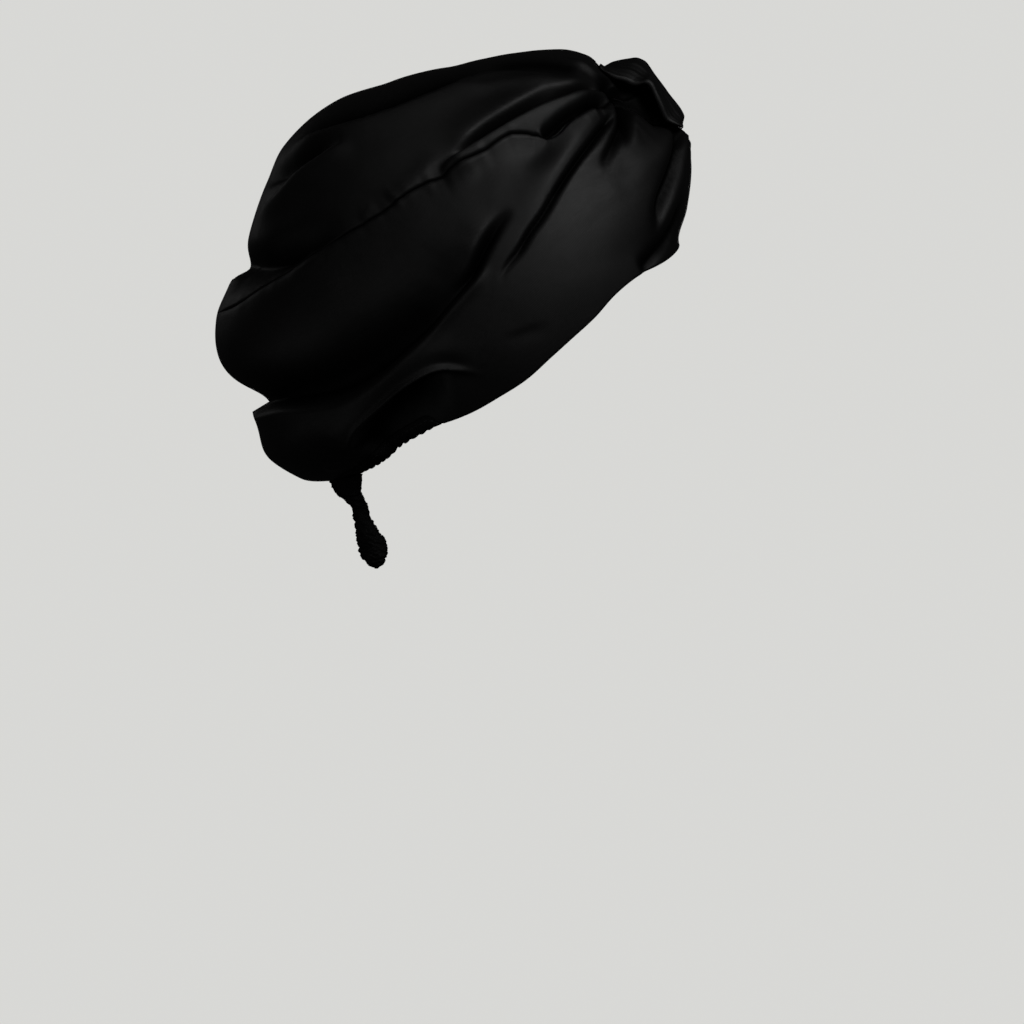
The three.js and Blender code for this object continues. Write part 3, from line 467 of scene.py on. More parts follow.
@dataclass
class BonnetForm:
    """The cloth's form: how far it reaches from the middle of the space it holds in any direction.

    casing_from, casing_taper, tie_half and nape_inset are counted in ribs from the front or the
    back; other lengths are millimetres. The pucker fields shape the seam's stitching, the left
    fields set the left side apart from the right, and the nape fields shape the gathers that the
    elastic draws.
    """

    half_width: float = 84.0
    wall: float = 1.6
    steepest: float = 1.7
    outline_blend: float = 0.4
    lift_rounds: int = 6
    seam_steps: int = 6
    route_steps: int = 5
    fold_limit: float = 3.2
    gap: float = 0.25
    seam_groove: float = 0.8
    seam_reach: float = 0.55
    # Painted shade that darkens the seam's groove.
    seam_painted_shade: float = 0.7
    pucker_depth: float = 0.10
    pucker_pitch: float = 11.0
    pucker_reach: float = 6.0
    pucker_sway: float = 1.7
    pucker_drift: float = 23.0
    pucker_second: float = 0.6
    pucker_finer: float = 0.57
    pucker_phase: float = 0.8
    middle_blend: float = 4.0
    blend_back: Ramp = Ramp(10.0, -60.0)
    left_sway: float = 3.0
    left_ease: float = 0.88
    left_across: Ramp = Ramp(12.0, 45.0)
    left_up: Ramp = Ramp(-10.0, 50.0)
    left_folds: Ramp = Ramp(0.0, 25.0)
    wrinkle_depth: float = 0.06
    wrinkle_count: int = 14
    wrinkle_shortest: float = 14.0
    wrinkle_longest: float = 42.0
    wrinkle_peak: float = 3.0
    wrinkle_seed: int = 7
    casing_tall: float = 7.5
    casing_from: float = 10.6
    casing_taper: float = 0.9
    tie_half: float = 1.6
    nape_gathers: int = 28
    nape_depth: float = 0.06
    nape_reach: float = 5.0
    nape_inset: float = 0.3
    nape_swell: float = 0.35
    nape_swells: float = 13.0
    nape_phase: float = 0.6
    nape_drift: float = 0.9
    nape_drifts: float = 9.0
    nape_jitter: float = 0.5
    nape_jitters: float = 23.0

    def __post_init__(self) -> None:
        """Prepares the tables, the loops of the ribs and the lines of the folds."""
        angles = tuple(row.angle for row in OUTLINE)
        self.profile = Column(angles, tuple(row.reach for row in OUTLINE), True)
        self.fullness = Column(angles, tuple(row.fullness for row in OUTLINE), True)
        self.evened = Column(*zip(*EVENED), True)
        self.seam_loop = self.rib_loop("seam_x", "seam_z")
        self.crease_loop = self.rib_loop("crease_x", "crease_z")
        self.hem_loop = self.rib_loop("hem_x", "hem_z")
        self.seam_line = self.seam_loop.at(np.linspace(0.0, 1.0, TURN * self.seam_steps + 1))
        self.seam_length = float(np.linalg.norm(np.diff(self.seam_line, axis=0), axis=1).sum())
        self.fold_lines = []
        for fold in FOLDS:
            route = np.array(fold.route, float)
            strand = Strand(self.lift(route[:, 0], route[:, 1]), False)
            shares = np.linspace(0.0, 1.0, len(route) * self.route_steps + 1)
            self.fold_lines.append(strand.at(shares))
        rng = np.random.default_rng(self.wrinkle_seed)
        count = self.wrinkle_count
        ways = unit(rng.normal(size=(count, 3)))
        lengths = rng.uniform(self.wrinkle_shortest, self.wrinkle_longest, size=(count, 1))
        self.wrinkle_ways = ways * (2 * np.pi / lengths)
        self.wrinkle_phases = rng.uniform(0.0, 2 * np.pi, size=count)

    def full_reach(self, way: np.ndarray) -> np.ndarray:
        """Reach of the full form, without folds.

        Args:
            way: Unit directions.

        Returns:
            One reach for each direction.
        """
        angle = np.degrees(np.arctan2(way[:, 2], way[:, 0]))
        power = self.fullness.at(angle)
        in_plane = np.hypot(way[:, 0], way[:, 2]) / self.outline(angle, way[:, 1])
        across = np.abs(way[:, 1]) / self.half_width
        return (in_plane**power + across**power) ** (-1.0 / power)

    def outline(self, angle: np.ndarray, slant: np.ndarray) -> np.ndarray:
        """Reach of the outline that a direction leans on, evened out away from the middle plane.

        Args:
            angle: Angles on the middle plane.
            slant: The directions' share across.

        Returns:
            One reach for each direction.
        """
        even = self.evened.at(angle)
        near_middle = np.exp(-((slant / self.outline_blend) ** 2))
        return even + (self.profile.at(angle) - even) * near_middle

    def lift(self, x: np.ndarray, z: np.ndarray) -> np.ndarray:
        """Points of the full form's right side that are seen from the side at x, z.

        Args:
            x: Places fore and aft.
            z: Heights.

        Returns:
            One point for each place.
        """
        angle = np.degrees(np.arctan2(z, x))
        power = self.fullness.at(angle)
        far = np.hypot(x, z)
        y = np.zeros_like(far)
        for _ in range(self.lift_rounds):
            share = np.minimum(far / self.outline(angle, y / np.hypot(far, y)), 1.0)
            y = -self.half_width * (1.0 - share**power) ** (1.0 / power)
        return np.stack([x, y, z], axis=-1)

    def rib_loop(self, key_x: str, key_z: str) -> Strand:
        """Closed loop round the bonnet through one point of every rib, right side then left.

        Args:
            key_x: Column of the ribs that holds the points' x.
            key_z: Column of the ribs that holds the points' z.

        Returns:
            The loop.
        """
        x = np.array([getattr(rib, key_x) for rib in RIBS], float)
        z = np.array([getattr(rib, key_z) for rib in RIBS], float)
        right = self.lift(x, z)
        right[[0, -1], 1] = 0.0
        return Strand(np.vstack([right, mirrored(right[-2:0:-1])]), True)

    def fold_push(self, fold: Fold, line: np.ndarray, points: np.ndarray) -> Drape:
        """Height that one fold adds, how far it leans over its neighbour and its painted shade.

        Args:
            fold: The fold.
            line: Points of its route on the full form.
            points: Points of the full form's right side.

        Returns:
            What the fold adds at each point.
        """
        height = np.zeros(len(points))
        lean = np.zeros_like(points)
        painted_shade = np.zeros(len(points))
        limit = self.fold_limit * max(fold.upper, fold.lower)
        low, high = line.min(axis=0) - limit, line.max(axis=0) + limit
        inside = np.all((points > low) & (points < high), axis=1)
        if not inside.any():
            return Drape(height, lean, painted_shade)
        near = points[inside]
        found = nearest(line, near)
        down = np.cross(near, found.step)
        below = ((near - found.origin) * down).sum(axis=1) > 0
        width = np.where(below, fold.lower, fold.upper)
        across = np.exp(-found.squared / width**2)
        start = ease(found.share / fold.grow) if fold.grow > 0 else 1.0
        end = ease((1.0 - found.share) / fold.fade) if fold.fade > 0 else 1.0
        share = across * start * end
        height[inside] = fold.rise * share
        painted_shade[inside] = fold.painted_shade * across * start * np.sqrt(end)
        if fold.hang:
            lean[inside] = fold.hang * share[:, None] * unit(down)
        return Drape(height, lean, painted_shade)

    def fan_height(self, fan: GatherFan, points: np.ndarray) -> np.ndarray:
        """Height that one fan of gathers adds.

        Args:
            fan: The fan.
            points: Points of the full form.

        Returns:
            One height for each point.
        """
        turn = math.radians(fan.angle)
        way = unit(np.array([math.cos(turn), fan.across, math.sin(turn)]))
        centre = way * self.full_reach(way[None])[0]
        first = unit(np.cross((0.0, 1.0, 0.0), way))
        second = np.cross(way, first)
        away = points - centre
        far = np.linalg.norm(away, axis=1)
        round_it = np.arctan2(away @ second, away @ first)
        wave = np.cos(fan.folds * round_it + fan.phase)
        finer = (fan.folds + fan.second_folds) * round_it
        wave += fan.second_share * np.cos(finer + fan.second_turn * fan.phase + fan.second_phase)
        return fan.depth * wave * ease(far / fan.near) * np.exp(-((far / fan.far) ** 2))

    def reach(self, way: np.ndarray) -> np.ndarray:
        """Reach of the cloth's outer face, folds and seam included.

        Args:
            way: Unit directions.

        Returns:
            One reach for each direction.
        """
        return self.drape(way).reach

    def pucker_wave(self, along: np.ndarray) -> np.ndarray:
        """Uneven waves that the seam's stitching draws into the cloth beside it.

        Args:
            along: Lengths along the seam.

        Returns:
            One height of the wave for each length.
        """
        turn = 2 * np.pi * along / self.pucker_pitch
        finer = 2 * np.pi * along / (self.pucker_finer * self.pucker_pitch)
        wave = np.sin(turn + self.pucker_sway * np.sin(along / self.pucker_drift))
        return wave + self.pucker_second * np.sin(finer + self.pucker_phase)

    def drape(self, way: np.ndarray) -> Drape:
        """The cloth's outer face with its folds, which may lean over their neighbours.

        Args:
            way: Unit directions.

        Returns:
            The drape in each direction.
        """
        whole = self.full_reach(way)
        point = way * whole[:, None]
        seam = nearest(self.seam_line, point)
        at_seam = np.exp(-seam.squared / self.seam_reach**2)
        height = -self.seam_groove * at_seam
        wave = self.pucker_wave(seam.share * self.seam_length)
        height += self.pucker_depth * wave * np.exp(-seam.squared / self.pucker_reach**2)
        wrinkle = np.sin(point @ self.wrinkle_ways.T + self.wrinkle_phases).sum(axis=1)
        height += self.wrinkle_depth * wrinkle / self.wrinkle_peak
        height += self.fan_height(FRONT_GATHERS, point) + self.fan_height(CROWN_GATHERS, point)
        left = point[:, 1] > 0
        sway = self.left_across.at(point[:, 1]) * self.left_up.at(point[:, 2])
        sway = np.where(left, sway, 0.0)
        turn = np.radians(-self.left_sway * sway)
        turned = np.stack([
            point[:, 0] * np.cos(turn) + point[:, 2] * np.sin(turn),
            -np.hypot(point[:, 1], self.middle_blend * self.blend_back.at(point[:, 0])),
            -point[:, 0] * np.sin(turn) + point[:, 2] * np.cos(turn),
        ], axis=1)
        turned = unit(turned)
        turned *= self.full_reach(turned)[:, None]
        share = 1.0 + (self.left_ease - 1.0) * sway
        over = self.left_folds.at(point[:, 1])
        height += share * self.fan_height(SIDE_GATHERS, turned)
        lean = np.zeros_like(turned)
        # Painted shade: the seam's groove and the folds' depths darken the colour and gloss by
        # shares.
        unshaded_share = 1.0 - self.seam_painted_shade * at_seam
        for fold, line in zip(FOLDS, self.fold_lines):
            push = self.fold_push(fold, line, turned)
            part = share * (1.0 + (fold.left - 1.0) * over)
            height += part * push.reach
            lean += part[:, None] * push.lean
            unshaded_share *= 1.0 - part * push.painted_shade
        back = np.stack([
            lean[:, 0] * np.cos(turn) - lean[:, 2] * np.sin(turn),
            np.where(left, -lean[:, 1], lean[:, 1]),
            lean[:, 0] * np.sin(turn) + lean[:, 2] * np.cos(turn),
        ], axis=1)
        return Drape(whole + height, back, 1.0 - unshaded_share)

    def casing_height(self, row: np.ndarray) -> np.ndarray:
        """Height of the nape casing, tapering out at both of its ends.

        Args:
            row: Ribs round the bonnet.

        Returns:
            One height for each rib.
        """
        from_back = np.abs(np.mod(row, TURN) - LAST_RIB)
        inside = LAST_RIB - self.casing_from - from_back
        return self.casing_tall * ease(inside / self.casing_taper)

    def clear_of_tie(self, row: np.ndarray) -> np.ndarray:
        """Share of the nape gathers that shows at rows of the ribs: none under the tie's root."""
        return 1.0 - ease(self.tie_half - np.abs(row - LAST_RIB))

    def side_point(self, row: np.ndarray, down: np.ndarray, extra: np.ndarray) -> np.ndarray:
        """Places on the side panel, near the full form.

        Args:
            row: Ribs round the bonnet.
            down: From 0 at the seam to 1 at the crease and 2 at the hem.
            extra: Further steps towards the hem, in millimetres.

        Returns:
            One point for each place.
        """
        share = np.mod(row / TURN, 1.0)
        upper = (down < 1.0)[:, None]
        crease = self.crease_loop.at(share)
        top = np.where(upper, self.seam_loop.at(share), crease)
        bottom = np.where(upper, crease, self.hem_loop.at(share))
        way = bottom - top
        part = np.where(down < 1.0, down, down - 1.0) + extra / np.linalg.norm(way, axis=1)
        return top + way * part[:, None]

    def panel_end(self, row: np.ndarray) -> np.ndarray:
        """How far down the side panel runs.

        Args:
            row: Ribs round the bonnet.

        Returns:
            One place for each rib, 2 where the panel reaches the hem.
        """
        share = np.mod(row / TURN, 1.0)
        length = np.linalg.norm(self.hem_loop.at(share) - self.crease_loop.at(share), axis=1)
        tall = self.casing_height(row)
        return np.where(tall > 0, 2.0 - (tall + self.gap) / length, 2.0)

    def nape_wave(self, row: np.ndarray) -> np.ndarray:
        """Waves of the nape gathers, uneven as hand-drawn elastic leaves them.

        Args:
            row: Ribs round the bonnet.

        Returns:
            One height of the wave for each rib.
        """
        start = self.casing_from + self.nape_inset
        part = (row - start) / (TURN - 2.0 * start)
        turn = 2 * np.pi * self.nape_gathers * part
        swell = np.sin(self.nape_swells * part * np.pi + self.nape_phase)
        drift = self.nape_drift * np.sin(self.nape_drifts * part * np.pi)
        jitter = self.nape_jitter * np.sin(self.nape_jitters * part)
        return (1.0 + self.nape_swell * swell) * np.cos(turn + drift + jitter)


def grid_normals(grid: np.ndarray, round_rows: bool) -> np.ndarray:
    """Unit normals of a grid of points, pointing away from the origin.

    Args:
        grid: Points, rows by columns.
        round_rows: Whether the last row joins the first.

    Returns:
        One normal for each point.
    """
    if round_rows:
        along = np.roll(grid, -1, axis=0) - np.roll(grid, 1, axis=0)
    else:
        along = np.gradient(grid, axis=0)
    normal = np.cross(along, np.gradient(grid, axis=1))
    normal /= np.maximum(np.linalg.norm(normal, axis=-1, keepdims=True), 1e-9)
    facing = np.sign((normal * grid).sum(axis=-1, keepdims=True))
    return normal * np.where(facing == 0, 1.0, facing)


@dataclass
class ClothShell:
    """Closed wall between an outer and an inner grid of points, with rolled edges."""

    name: str
    outer: np.ndarray
    inner: np.ndarray
    round_rows: bool
    roll: float = 0.5
    painted_shade: np.ndarray | None = None

    def loops(self) -> list[tuple[np.ndarray, np.ndarray]]:
        """Edges of the grid in the sense of its faces.

        Returns:
            Each edge's places, with the places just inside it.
        """
        rows, cols = self.outer.shape[:2]
        ids = np.arange(rows * cols).reshape(rows, cols)
        if self.round_rows:
            return [(ids[::-1, 0], ids[::-1, 1]), (ids[:, -1], ids[:, -2])]
        edge = np.concatenate([ids[0, :-1], ids[:-1, -1], ids[-1, :0:-1], ids[:0:-1, 0]])
        i, j = np.divmod(edge, cols)
        return [(edge, ids[np.clip(i, 1, rows - 2), np.clip(j, 1, cols - 2)])]

    def build(self) -> bpy.types.Object:
        """Makes the wall as a mesh object with a map of its lengths.

        Returns:
            The object, at the origin and in metres.
        """
        rows, cols = self.outer.shape[:2]
        count = rows * cols
        outer = self.outer.reshape(-1, 3)
        inner = self.inner.reshape(-1, 3)
        steps = rows if self.round_rows else rows - 1
        i, j = np.indices((steps, cols - 1)).reshape(2, -1)
        here, after = i * cols + j, (i + 1) % rows * cols + j
        quads = np.stack([here, here + 1, after + 1, after], axis=1)
        middle = self.outer[:, cols // 2]
        lengths_u = np.linalg.norm(np.diff(middle, axis=0, append=middle[:1]), axis=1)
        along = np.concatenate([[0.0], np.cumsum(lengths_u)])
        lengths_v = np.linalg.norm(np.diff(self.outer, axis=1), axis=2).mean(axis=0)
        down = np.concatenate([[0.0], np.cumsum(lengths_v)])
        uv = np.stack([
            np.stack([along[i], along[i], along[i + 1], along[i + 1]], axis=1),
            np.stack([down[j], down[j + 1], down[j + 1], down[j]], axis=1),
        ], axis=2)
        points = [outer, inner]
        faces = [quads, quads[:, ::-1] + count]
        maps = [uv, uv[:, ::-1]]
        base = 2 * count
        vertex_uv = np.stack(np.meshgrid(along[:rows], down, indexing="ij"), axis=-1).reshape(-1, 2)
        for edge, inside in self.loops():
            lean = outer[edge] - outer[inside]
            lean /= np.maximum(np.linalg.norm(lean, axis=1, keepdims=True), 1e-9)
            points.append((outer[edge] + inner[edge]) / 2 + lean * self.roll)
            k = np.arange(len(edge))
            n = (k + 1) % len(edge)
            faces.append(np.stack([edge[n], edge[k], base + k, base + n], axis=1))
            faces.append(np.stack([base + n, base + k, edge[k] + count, edge[n] + count], axis=1))
            flat = vertex_uv[edge]
            strip = np.stack([flat[n], flat[k], flat[k], flat[n]], axis=1)
            maps.extend([strip, strip])
            base += len(edge)
        piece = mesh_object(self.name, np.vstack(points), np.vstack(faces), np.vstack(maps))
        # Painted shade of the folds and seam, kept as a point attribute of the outer face.
        if self.painted_shade is not None:
            shade = np.zeros(base, np.float32)
            shade[:count] = self.painted_shade
            layer = piece.data.attributes.new("painted_shade", "FLOAT", "POINT")
            layer.data.foreach_set("value", shade)
        return piece


def mesh_object(name: str, points: np.ndarray, faces: np.ndarray,
                uv: np.ndarray) -> bpy.types.Object:
    """Mesh object from points and four-cornered faces, turned to face outwards.

    Args:
        name: Name of the piece.
        points: Points in millimetres.
        faces: Four corners a face.
        uv: Lengths along the cloth for each corner, in millimetres.

    Returns:
        The object, linked to the scene, at the origin and in metres.
    """
    a, b, c, d = (points[faces[:, k]] for k in range(4))
    volume = (a * np.cross(b, c)).sum() + (a * np.cross(c, d)).sum()
    if volume < 0:
        faces, uv = faces[:, ::-1], uv[:, ::-1]
    mesh = bpy.data.meshes.new(name)
    mesh.from_pydata((points * MM).tolist(), [], faces.tolist())
    layer = mesh.uv_layers.new(name="cloth_map")
    layer.data.foreach_set("uv", np.ascontiguousarray(uv, np.float32).ravel() * MM)
    mesh.shade_smooth()
    mesh.update()
    piece = bpy.data.objects.new(name, mesh)
    bpy.context.scene.collection.objects.link(piece)
    return piece


class NodeSketch:
    """Small helper that adds nodes to a tree and joins them."""

    def __init__(self, tree: bpy.types.NodeTree) -> None:
        """Keeps the tree to draw in."""
        self.tree = tree

    def node(self, kind: str, values: dict[str | int, object] | None = None,
             **settings: object) -> bpy.types.Node:
        """Adds a node.

        Args:
            kind: Blender's name of the node type.
            values: Values of input sockets, by socket name or number.
            **settings: Attributes of the node itself.

        Returns:
            The node.
        """
        node = self.tree.nodes.new(kind)
        for key, value in settings.items():
            setattr(node, key, value)
        for key, value in (values or {}).items():
            node.inputs[key].default_value = value
        return node

    def join(self, source: bpy.types.NodeSocket, target: bpy.types.NodeSocket) -> None:
        """Joins an output socket to an input socket."""
        self.tree.links.new(source, target)


class SilkGroup:
    """Shader group shared by every silk: weave, slubs, crush, painted sheen and painted shade."""

    name: str = "silk_surface"
    inputs: tuple[tuple[str, str], ...] = (
        ("Map", "NodeSocketVector"), ("Place", "NodeSocketVector"),
        ("Deep", "NodeSocketColor"), ("Painted Sheen", "NodeSocketColor"),
        ("Thread", "NodeSocketFloat"), ("Crush", "NodeSocketFloat"),
        ("Smooth", "NodeSocketFloat"), ("Dull", "NodeSocketFloat"),
        ("Painted Shade", "NodeSocketFloat"),
    )
    outputs: tuple[tuple[str, str], ...] = (
        ("Colour", "NodeSocketColor"), ("Roughness", "NodeSocketFloat"),
        ("Height", "NodeSocketFloat"),
    )
    slub_stretch: tuple[float, float, float] = (120.0, 1400.0, 1.0)
    weave_share: float = 0.25
    slub_share: float = 0.35

    @classmethod
    def get(cls) -> bpy.types.NodeTree:
        """The group, made at its first use.

        Returns:
            The node tree.
        """
        known = bpy.data.node_groups.get(cls.name)
        if known:
            return known
        tree = bpy.data.node_groups.new(cls.name, "ShaderNodeTree")
        for in_out, sockets in (("INPUT", cls.inputs), ("OUTPUT", cls.outputs)):
            for label, kind in sockets:
                tree.interface.new_socket(label, in_out=in_out, socket_type=kind)
        sketch = NodeSketch(tree)
        given = sketch.node("NodeGroupInput")
        result = sketch.node("NodeGroupOutput")
        warp = sketch.node("ShaderNodeTexWave", {"Distortion": 0.6, "Detail": 1.0},
                           bands_direction="DIAGONAL")
        sketch.join(given.outputs["Map"], warp.inputs["Vector"])
        sketch.join(given.outputs["Thread"], warp.inputs["Scale"])
        stretch = sketch.node("ShaderNodeMapping", {"Scale": cls.slub_stretch})
        sketch.join(given.outputs["Map"], stretch.inputs["Vector"])
        slub = sketch.node("ShaderNodeTexNoise", {"Scale": 1.0, "Detail": 3.0})
        sketch.join(stretch.outputs["Vector"], slub.inputs["Vector"])
        crush = sketch.node("ShaderNodeTexNoise",
                            {"Detail": 4.0, "Roughness": 0.55, "Distortion": 0.4})
        sketch.join(given.outputs["Place"], crush.inputs["Vector"])
        sketch.join(given.outputs["Crush"], crush.inputs["Scale"])
        # Painted sheen: where the crush rises the colour turns from the dye to the lighter sheen
        # colour.
        shade = sketch.node("ShaderNodeMapRange", {"From Min": 0.3, "From Max": 0.7})
        sketch.join(crush.outputs["Fac"], shade.inputs["Value"])
        mix = sketch.node("ShaderNodeMix", data_type="RGBA")
        sketch.join(shade.outputs["Result"], mix.inputs["Factor"])
        sketch.join(given.outputs["Deep"], mix.inputs[6])
        sketch.join(given.outputs["Painted Sheen"], mix.inputs[7])
        # Painted shade: the shade input darkens the colour in deep folds and along the seam.
        lit = sketch.node("ShaderNodeMath", {0: 1.0}, operation="SUBTRACT")
        sketch.join(given.outputs["Painted Shade"], lit.inputs[1])
        colour_with_painted_shade = sketch.node("ShaderNodeVectorMath", operation="SCALE")
        sketch.join(mix.outputs[2], colour_with_painted_shade.inputs[0])
        sketch.join(lit.outputs["Value"], colour_with_painted_shade.inputs["Scale"])
        rough = sketch.node("ShaderNodeMapRange", {"From Min": 0.25, "From Max": 0.75})
        sketch.join(slub.outputs["Fac"], rough.inputs["Value"])
        sketch.join(given.outputs["Smooth"], rough.inputs["To Min"])
        sketch.join(given.outputs["Dull"], rough.inputs["To Max"])
        weave = sketch.node("ShaderNodeMath", {1: cls.weave_share}, operation="MULTIPLY")
        sketch.join(warp.outputs["Fac"], weave.inputs[0])
        slubs = sketch.node("ShaderNodeMath", {1: cls.slub_share}, operation="MULTIPLY_ADD")
        sketch.join(slub.outputs["Fac"], slubs.inputs[0])
        sketch.join(weave.outputs["Value"], slubs.inputs[2])
        height = sketch.node("ShaderNodeMath", operation="ADD")
        sketch.join(crush.outputs["Fac"], height.inputs[0])
        sketch.join(slubs.outputs["Value"], height.inputs[1])
        sketch.join(colour_with_painted_shade.outputs["Vector"], result.inputs["Colour"])
        sketch.join(rough.outputs["Result"], result.inputs["Roughness"])
        sketch.join(height.outputs["Value"], result.inputs["Height"])
        return tree


@dataclass(frozen=True)
class SilkFinish:
    """A finish of the black silk: its dye, painted sheen, gloss, weave and crush."""

    slot: Slot
    label: str
    deep: tuple[float, float, float] = (0.0018, 0.0018, 0.0019)
    # Painted sheen: the lighter colour laid where the crush rises.
    painted_sheen: tuple[float, float, float] = (0.0028, 0.0028, 0.0029)
    smooth: float = 0.47
    dull: float = 0.56
    specular: float = 0.5
    thread: float = 900.0
    crush: float = 90.0
    relief: float = 0.00012
    relief_strength: float = 0.7

    def material(self) -> bpy.types.Material:
        """The finish as a material, made at its first use.

        Returns:
            The material.
        """
        known = bpy.data.materials.get(self.label)
        if known:
            return known
        material = bpy.data.materials.new(self.label)
        material.use_nodes = True
        sketch = NodeSketch(material.node_tree)
        shader = material.node_tree.nodes["Principled BSDF"]
        shader.inputs["Specular IOR Level"].default_value = self.specular
        place = sketch.node("ShaderNodeTexCoord")
        cloth = sketch.node("ShaderNodeUVMap", uv_map="cloth_map")
        # Painted shade of the folds and seam, read from the cloth's point attribute.
        depth = sketch.node("ShaderNodeAttribute", attribute_name="painted_shade")
        group = sketch.node("ShaderNodeGroup", node_tree=SilkGroup.get())
        for label, value in (("Deep", (*self.deep, 1.0)), ("Painted Sheen", (*self.painted_sheen, 1.0)),
                             ("Thread", self.thread), ("Crush", self.crush),
                             ("Smooth", self.smooth), ("Dull", self.dull)):
            group.inputs[label].default_value = value
        sketch.join(cloth.outputs["UV"], group.inputs["Map"])
        sketch.join(place.outputs["Object"], group.inputs["Place"])
        sketch.join(depth.outputs["Fac"], group.inputs["Painted Shade"])
        bump = sketch.node("ShaderNodeBump",
                           {"Strength": self.relief_strength, "Distance": self.relief})
        sketch.join(group.outputs["Height"], bump.inputs["Height"])
        sketch.join(group.outputs["Colour"], shader.inputs["Base Color"])
        sketch.join(group.outputs["Roughness"], shader.inputs["Roughness"])
        # Painted shade: the deep folds turn to a metal as dark as the dye, which gives back no
        # gloss.
        sketch.join(depth.outputs["Fac"], shader.inputs["Metallic"])
        sketch.join(bump.outputs["Normal"], shader.inputs["Normal"])
        return material

    def dress(self, piece: bpy.types.Object, *nodes: str) -> bpy.types.Object:
        """Gives a piece this finish and its place in the frame.

        Args:
            piece: The piece to dress.
            *nodes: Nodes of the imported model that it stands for.

        Returns:
            The piece.
        """
        piece.data.materials.clear()
        piece.data.materials.append(self.material())
        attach(piece, "root")
        if nodes:
            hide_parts(*nodes)
        return piece


SATIN = SilkFinish(Slot.BLACK_SILK, "black_satin")
SHIRRED = SilkFinish(Slot.SHIRRED_SILK, "shirred_satin", smooth=0.60, dull=0.72, specular=0.2,
                     crush=520.0, relief=0.0003)
THREAD = SilkFinish(Slot.BLACK_SILK, "black_thread", deep=(0.010, 0.010, 0.011),
                    painted_sheen=(0.020, 0.020, 0.021), smooth=0.40, dull=0.50, crush=900.0,
                    relief=0.00005)


def cloth_shell(form: BonnetForm, name: str, way: np.ndarray, lift: np.ndarray | float,
                round_rows: bool, roll: float) -> bpy.types.Object:
    """Wall of cloth over a grid of directions.

    Args:
        form: The bonnet's form.
        name: Name of the piece.
        way: Unit directions, rows by columns.
        lift: Height added to the cloth's reach.
        round_rows: Whether the last row joins the first.
        roll: How far its edges are rolled out.

    Returns:
        The object.
    """
    shape = way.shape[:2]
    drape = form.drape(way.reshape(-1, 3))
    reach = drape.reach.reshape(shape) + lift
    lean = drape.lean.reshape(way.shape)
    outer = way * reach[..., None] + lean
    slant = np.abs((grid_normals(outer, round_rows) * way).sum(axis=-1))
    thick = form.wall * np.minimum(1.0 / np.maximum(slant, 1e-3), form.steepest)
    inner = way * (reach - thick)[..., None] + lean
    return ClothShell(name, outer, inner, round_rows, roll, drape.painted_shade).build()


@dataclass
class SidePanel:
    """The panel that goes all round, from the side seam down to the hem."""

    form: BonnetForm
    per_rib: int = 14
    above: int = 45
    below: int = 51
    first_step: float = 0.45
    roll: float = 0.6
    cut_width: float = 0.150
    cut_length: float = 0.640
    cut_area: float = 0.072

    def build(self) -> bpy.types.Object:
        """Makes the panel's wall, gathered a little above the nape casing.

        Returns:
            The object.
        """
        rows = np.arange(TURN * self.per_rib) / self.per_rib
        end = self.form.panel_end(rows)
        upper = np.arange(self.above) / self.above
        upper[1] *= self.first_step
        lower = np.linspace(0.0, 1.0, self.below)
        down = np.concatenate([
            np.broadcast_to(upper, (len(rows), self.above)),
            1.0 + lower[None] * (end - 1.0)[:, None],
        ], axis=1)
        flat_rows = np.repeat(rows, down.shape[1])
        extra = np.zeros_like(down)
        extra[:, 0] = self.form.gap / 2
        places = self.form.side_point(flat_rows, down.ravel(), extra.ravel())
        places = places.reshape(*down.shape, 3)
        to_edge = np.linalg.norm(places - places[:, -1:], axis=2)
        tall = self.form.casing_height(rows) / self.form.casing_tall
        wave = self.form.nape_depth * self.form.nape_wave(rows)
        wave = wave * tall * self.form.clear_of_tie(rows)
        lift = wave[:, None] * np.exp(-to_edge / self.form.nape_reach)
        return cloth_shell(self.form, "side_silk", unit(places), lift, True, self.roll)

    def dress(self, piece: bpy.types.Object) -> None:
        """Dresses the panel."""
        SATIN.dress(piece, "side_panel")


